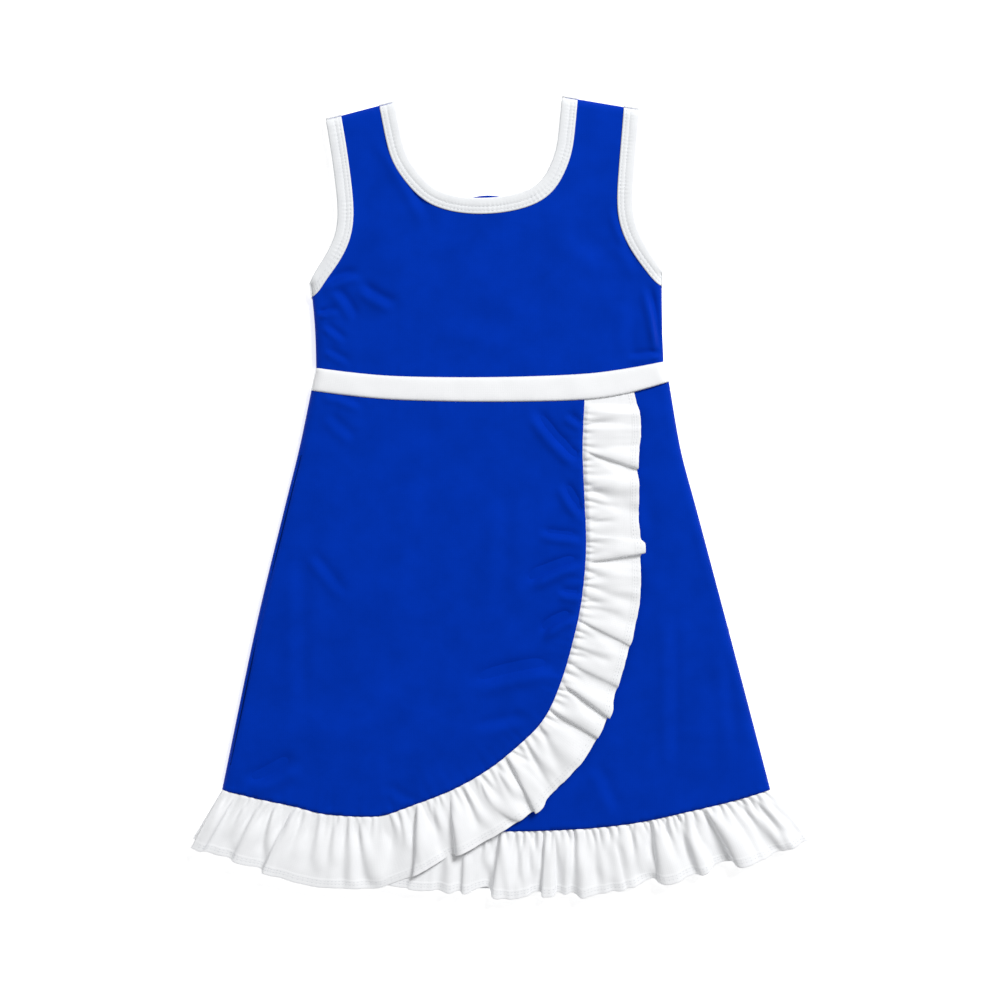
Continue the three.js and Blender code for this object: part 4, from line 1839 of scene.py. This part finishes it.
@dataclass(frozen=True)
class Skirt:
    """The two full skirt panels, the wrap panel over them, and the three ruffles."""

    pattern: Pattern
    lie: Lie
    seam_inset: float = 2.6
    back_depths: Sequence[tuple[float, float]] = ((0, 44), (215, 45), (400, 44), (431, 47))
    under_depths: Sequence[tuple[float, float]] = (
        (0, 44), (130, 44.5), (165, 47), (205, 46), (225, 50), (250, 49), (290, 50.5), (325, 47.5),
        (350, 48.5), (385, 47), (403, 50), (431, 49.5),
    )
    wrap_depths: Sequence[tuple[float, float]] = (
        (-12, 37), (-6, 38.8), (0, 40.8), (5, 42.6), (11, 43.8), (25, 44.5), (47, 42.5), (95, 41),
        (150, 44.5), (200, 42.5), (265, 43.5), (300, 46), (350, 46.5), (385, 50), (400, 54.5),
        (440, 56), (470, 54), (495, 50.5), (523, 50),
    )
    under_creases: Sequence[Crease] = (
        Crease((129, -80), (129, -222), 5.0, 1.33), Crease((104, 20), (112, -70), 6.0, 0.76),
        Crease((168, -110), (178, -215), 5.0, 0.85), Crease((70, -205), (88, -248), 5.0, 0.95),
        Crease((150, 10), (162, -60), 5.0, 0.76),
    )
    wrap_creases: Sequence[Crease] = (
        Crease((22, 68), (65, 20), 4.2, 2.8, -3.0), Crease((50, 62), (66, 52), 2.8, 2.2),
        Crease((46, 12), (66, -19), 3.8, 2.8, -2.0), Crease((22, -71), (70, -51), 4.4, 3.6, 2.0),
        Crease((34, -110), (64, -93), 4.0, 3.4, 3.0), Crease((-24, -152), (52, -135), 6.0, 3.0, 3.0),
        Crease((-22, -186), (30, -173), 4.5, 1.33, 2.0), Crease((-192, -227), (-150, -205), 6.0, 2.8, -2.0),
        Crease((-158, -30), (-160, -180), 6.0, 1.2), Crease((-149, -42), (-119, -80), 4.0, 1.2),
        Crease((-138, 78), (-104, 66), 3.4, 1.8, 2.0), Crease((-136, 62), (-112, 40), 4.0, 1.2),
        Crease((-5, 20), (-6, -98), 7.0, 0.66), Crease((18, 14), (14, -98), 7.0, 0.66),
        Crease((30, -30), (66, -34), 3.2, 2.2), Crease((46, -76), (66, -78), 3.0, 2.2),
        Crease((-90, -225), (-60, -243), 4.0, 0.95), Crease((-60, 40), (-80, -60), 9.0, 0.66),
    )

    def outline(self) -> Points:
        """The outline of a full skirt panel, anticlockwise.

        Returns:
            Its corners, one row each.
        """
        pattern = self.pattern
        left = pattern.side(Side.LEFT, pattern.skirt_side_places)
        right = pattern.side(Side.RIGHT, pattern.skirt_side_places).back_to_front()
        waist = pattern.waist_line(False).back_to_front()
        raised = waist.beside() + np.array([0.0, pattern.seam_allowance])
        return np.vstack([pattern.hem.beside(), right.beside()[1:], raised[1:-1], left.beside()[:-1]])

    def wrap_outline(self) -> Points:
        """The outline of the wrap panel, anticlockwise, tucked under the waistband.

        Returns:
            Its corners, one row each.
        """
        pattern = self.pattern
        edge = pattern.wrap_edge.back_to_front().beside()
        waist = pattern.waist_line(False).back_to_front()
        raised = waist.beside() + np.array([0.0, 0.6 * pattern.seam_allowance])
        raised = raised[raised[:, 0] < edge[-1, 0] - 0.5]
        left = pattern.side(Side.LEFT, pattern.skirt_side_places).beside()
        return np.vstack([edge, raised[:-1], left[:-1]])

    def build(self) -> None:
        """Makes the panels and the ruffles."""
        pattern, lie = self.pattern, self.lie
        waist = Pucker(pattern.waist_line(False), 7.0, 0.3, 8.0, 60)
        hem = Pucker(pattern.hem, 5.0, 0.3, 6.0, 61)
        held = [pattern.waist_line(False), pattern.hem]
        Panel(
            "skirt_back_cloth", self.outline(), BACK_PLY, ["skirt_back_panel"], [waist, Swell(0.2, seed=8)],
            held, pattern.hem,
        ).build(lie, ["waistband_back_cloth"])
        Panel(
            "skirt_under_cloth", self.outline(), FRONT_PLY, ["skirt_under_panel"],
            [waist, hem, Swell(0.8, seed=9), *self.under_creases], [*held, pattern.wrap_edge], pattern.hem,
        ).build(lie, ["skirt_back_cloth"])
        edge = pattern.wrap_edge
        left_side = pattern.side(Side.LEFT, pattern.skirt_side_places)
        Panel(
            "wrap_cloth", self.wrap_outline(), WRAP_PLY, ["wrap_panel", "wrap_flap"],
            [
                waist, Pucker(edge, 5.2, 0.42, 8.0, 62), Pucker(edge, 11.0, 0.35, 17.0, 63),
                SeamLine(left_side, self.seam_inset), Swell(0.8, seed=9), *self.wrap_creases,
            ],
            [pattern.waist_line(False), edge], edge, folds_with_wrap=True,
        ).build(lie, ["skirt_under_cloth"])
        self.groove_shade_thread(left_side)
        flares = (-pattern.hem_flares[0], pattern.hem_flares[1])
        Ruffle(
            "back_ruffle_cloth", pattern.hem, lie, BACK_PLY, free_side=1, depths=self.back_depths,
            folds=BACK_FOLDS, flares=flares, rise=0.4, stands_for=["back_ruffle"],
            rests_on="skirt_back_cloth", seed=70, amounts=(0.45, 0.45), puffs=(0.3, 0.3), sunk=0.2,
            dip=0.9, rows=16, step=1.1,
        ).build()
        Ruffle(
            "under_ruffle_cloth", pattern.hem, lie, FRONT_PLY, free_side=1, depths=self.under_depths,
            folds=HEM_FOLDS, flares=flares, rise=1.3, stands_for=["under_panel_ruffle"],
            rests_on="back_ruffle_cloth", seed=80, amounts=(0.5, 1.6),
        ).build()
        Ruffle(
            "wrap_ruffle_cloth", edge, lie, WRAP_PLY, free_side=-1, depths=self.wrap_depths,
            folds=WRAP_FOLDS, flares=(0.0, flares[0]), rise=2.6,
            stands_for=["wrap_ruffle", "wrap_ruffle_waist_end", "wrap_ruffle_side_end"],
            rests_on="under_ruffle_cloth", start=-12.0, settle=14.0, emerges=8.0, dip=0.7,
            amounts=(1.1, 1.5), puffs=(1.7, 0.3), wave=0.45, sway=0.3, tucked=0.8,
            folds_with_wrap=True, seed=90,
        ).build()

    def groove_shade_thread(self, seam: Seam) -> bpy.types.Object:
        """Makes the thread that shows where the left side seam has rolled onto the front; it is coloured
        dark as painted shade of its groove.

        Args:
            seam: the side seam, from its top down.

        Returns:
            The object.
        """
        groove = SeamLine(seam, self.seam_inset)
        stations = np.arange(0.16 * seam.length, 0.94 * seam.length, 1.2)
        flat = seam.at(stations) - self.seam_inset * seam.outward(stations)
        height, openness = self.lie.height(WRAP_PLY, flat)
        height += groove.relief(flat) * openness + 0.3
        points, faces = strand_along(np.column_stack([flat, height]), 0.5)
        # The thread's dark colour is painted shade of the seam's groove.
        return Piece("side_seam_thread", points, faces, points[:, :2], SEAM_SHADE_THREAD).build()


@dataclass(frozen=True)
class Inside:
    """What is sewn inside: overlocked seam allowances and two blank labels."""

    pattern: Pattern
    lie: Lie
    width: float = 6.0
    level: float = 5.4
    overlock_pitch: float = 3.2

    def allowance(self, node: str, seam: Seam, side: float, level: float, inset: float = 2.0) -> None:
        """Makes a seam allowance, two plies thick, with its overlock thread.

        Args:
            node: the CAD node that it stands for.
            seam: the seam that it follows.
            side: which side of the seam it lies on, 1 for the right of travel.
            level: its height.
            inset: how far it stops short of the seam's two ends.
        """
        stations = np.linspace(inset, seam.length - inset, round(seam.length / 3) + 1)
        out = np.concatenate([np.linspace(self.width, 0.8, 5), [0.3], np.linspace(0.8, self.width, 5)])
        ply = np.concatenate([np.full(5, -0.45), [0.0], np.full(5, 0.45)])

        def surface(station: Points, across: Points, offset: Points) -> Points:
            """The allowance's cloth.

            Args:
                station: lengths along the seam.
                across: distances out from the seam.
                offset: heights from the allowance's middle.

            Returns:
                The points, in millimetres.
            """
            flat = seam.at(station) + side * across[..., None] * seam.outward(station)
            curl = 0.35 * drifting(station, 30.0, 14) * across / self.width
            return np.concatenate([flat, (level + curl + offset)[..., None]], axis=-1)

        along = np.repeat(stations[:, None], len(out), axis=1)
        across = np.repeat(out[None], len(stations), axis=0)
        cloth = np.concatenate([[0.0], np.cumsum(np.hypot(np.diff(out), np.diff(ply)))])
        strip = Piece(
            f"{node}_allowance", surface(along, across, np.broadcast_to(ply, along.shape)).reshape(-1, 3),
            grid_faces(len(stations), len(out)),
            np.stack(np.broadcast_arrays(cloth, along), axis=-1).reshape(-1, 2), BLUE_KNIT, 0.5, [node],
        ).build()
        turns = np.arange(6, seam.length - 10, 0.8)
        angle = 2 * np.pi * turns / self.overlock_pitch
        loop = self.width - 1.8 + 2.0 * np.cos(angle)
        path = surface(turns, loop, 0.95 * np.sign(np.sin(angle + 0.6)))
        points, faces = strand_along(path, 0.2)
        thread = Piece(f"{node}_overlock", points, faces, points[:, :2], THREAD).build()

    def label(self, name: str, node: str, finish: Finish, curl: float, crown: float = 0.0) -> None:
        """Makes a blank label: a short tape, folded at its end, with a slight curl.

        Args:
            name: the piece's name.
            node: the CAD node that it stands for.
            finish: what it is made of.
            curl: how far its corners lift.
            crown: how far its folded end stands up in the middle.
        """
        low, high = (np.array(corner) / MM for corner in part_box(node))
        rows, columns = 22, 16
        u, v = np.meshgrid(np.linspace(0, 1, columns), np.linspace(0, 1, rows))
        lift = curl * (2 * u - 1) ** 2 * (0.4 + 0.6 * v) + 0.15 * np.sin(5 * v + 3 * u)
        points = np.stack([
            low[0] + (high[0] - low[0]) * u,
            low[1] + (high[1] - low[1]) * v + crown * (1 - (2 * u - 1.25) ** 2) * v**4,
            low[2] + 0.3 + lift,
        ], axis=-1)
        cloth = np.stack([u * (high[0] - low[0]), v * (high[1] - low[1])], axis=-1)
        tape = Piece(
            name, points.reshape(-1, 3), grid_faces(rows, columns), cloth.reshape(-1, 2), finish, 0.3,
            [node],
        ).build()

    def build(self) -> None:
        """Makes the allowances and the labels."""
        pattern = self.pattern
        whole = [*pattern.bodice_side_places, *pattern.skirt_side_places]
        for side in Side:
            inward = float(side.value)
            name = side.name.lower()
            self.allowance(f"side_seam_{name}", pattern.side(side, whole), inward, self.level)
            self.allowance(f"shoulder_seam_{name}", pattern.shoulder(side), inward, self.level)
        self.allowance("under_hem_seam", pattern.hem, -1.0, FRONT_PLY.flat - 1.0, 8.0)
        self.allowance("back_hem_seam", pattern.hem, -1.0, BACK_PLY.flat + 1.0, 8.0)
        self.label("neck_label_tape", "neck_label", BLUE_KNIT, 0.3, 1.5)
        self.label("care_label_tape", "care_label", SATIN, 0.9)


# ---- Studio --------------------------------------------------------------------------------------


@dataclass(frozen=True)
class Studio:
    """A plain pale table, soft light, and a camera straight above the dress."""

    lens: float = 85.0
    sensor: float = 36.0
    field_of_view: float = 770.0
    table_glow: float = 0.56
    aim: tuple[float, float, float] = (1.85, -1.5, 10.0)

    def build(self) -> None:
        """Makes the table, the lights and the camera."""
        scene = bpy.context.scene
        scene.view_settings.view_transform = "Standard"
        self.table()
        self.light("key_light", (1.75, 2.1, 2.5), 1.3, 141.0)
        self.light("fill_light", (-1.2, -0.5, 1.6), 1.6, 6.6)
        world = bpy.data.worlds.new("studio_air")
        world.use_nodes = True
        world.node_tree.nodes["Background"].inputs["Color"].default_value = (1.0, 1.0, 1.0, 1.0)
        world.node_tree.nodes["Background"].inputs["Strength"].default_value = 0.3
        scene.world = world
        camera = bpy.data.cameras.new("camera")
        camera.lens, camera.sensor_width = self.lens, self.sensor
        seat = bpy.data.objects.new("camera", camera)
        distance = self.field_of_view * self.lens / self.sensor
        seat.location = np.multiply((self.aim[0], self.aim[1], self.aim[2] + distance), MM)
        scene.collection.objects.link(seat)
        scene.camera = seat

    def table(self) -> None:
        """Makes the table top: pale opal acrylic, lit from beneath so that shadows on it stay soft."""
        reach = 4.0
        corners = [(-reach, -reach, 0), (reach, -reach, 0), (reach, reach, 0), (-reach, reach, 0)]
        mesh = bpy.data.meshes.new("table_top")
        mesh.from_pydata(corners, [], [(0, 1, 2, 3)])
        material = bpy.data.materials.new("pale_table")
        material.use_nodes = True
        shader = material.node_tree.nodes["Principled BSDF"]
        shader.inputs["Base Color"].default_value = linear("#fafafa")
        shader.inputs["Roughness"].default_value = 0.95
        shader.inputs["Specular IOR Level"].default_value = 0.1
        shader.inputs["Emission Color"].default_value = (1.0, 1.0, 1.0, 1.0)
        shader.inputs["Emission Strength"].default_value = self.table_glow
        mesh.materials.append(material)
        top = bpy.data.objects.new("table_top", mesh)
        bpy.context.scene.collection.objects.link(top)

    def light(self, name: str, place: tuple[float, float, float], size: float, power: float) -> None:
        """Adds a square soft light that faces the dress.

        Args:
            name: the light's name.
            place: where it hangs, in metres.
            size: the length of its sides, in metres.
            power: its power, in watts.
        """
        lamp = bpy.data.lights.new(name, "AREA")
        lamp.shape, lamp.size, lamp.energy = "SQUARE", size, power
        holder = bpy.data.objects.new(name, lamp)
        holder.location = place
        holder.rotation_euler = (-Vector(place)).to_track_quat("-Z", "Y").to_euler()
        bpy.context.scene.collection.objects.link(holder)


def main() -> None:
    """Builds the dress and its studio, in the order in which it is sewn."""
    logging.basicConfig(level=logging.INFO, format="%(name)s: %(message)s")
    Studio().build()
    pattern = Pattern()
    lie = Lie(pattern, ruffle_depth=48.0)
    under = ()
    for name, ply, outward in (
        ("waistband_back", BACK_BAND_PLY, -1),
        ("waistband_facing_back", BACK_FACING_PLY, 1),
        ("waistband_facing_front", FACING_PLY, -1),
    ):
        Waistband(f"{name}_cloth", pattern, lie, ply, outward, name, under, puff=0.1).build()
        under = (f"{name}_cloth",)
    Waistband(
        "waistband_front_cloth", pattern, lie, BAND_PLY, 1, "waistband_front", ("wrap_cloth",)
    ).build()
    Bodice(pattern, lie).build()
    Skirt(pattern, lie).build()
    Inside(pattern, lie).build()


if __name__ == "__main__":
    main()
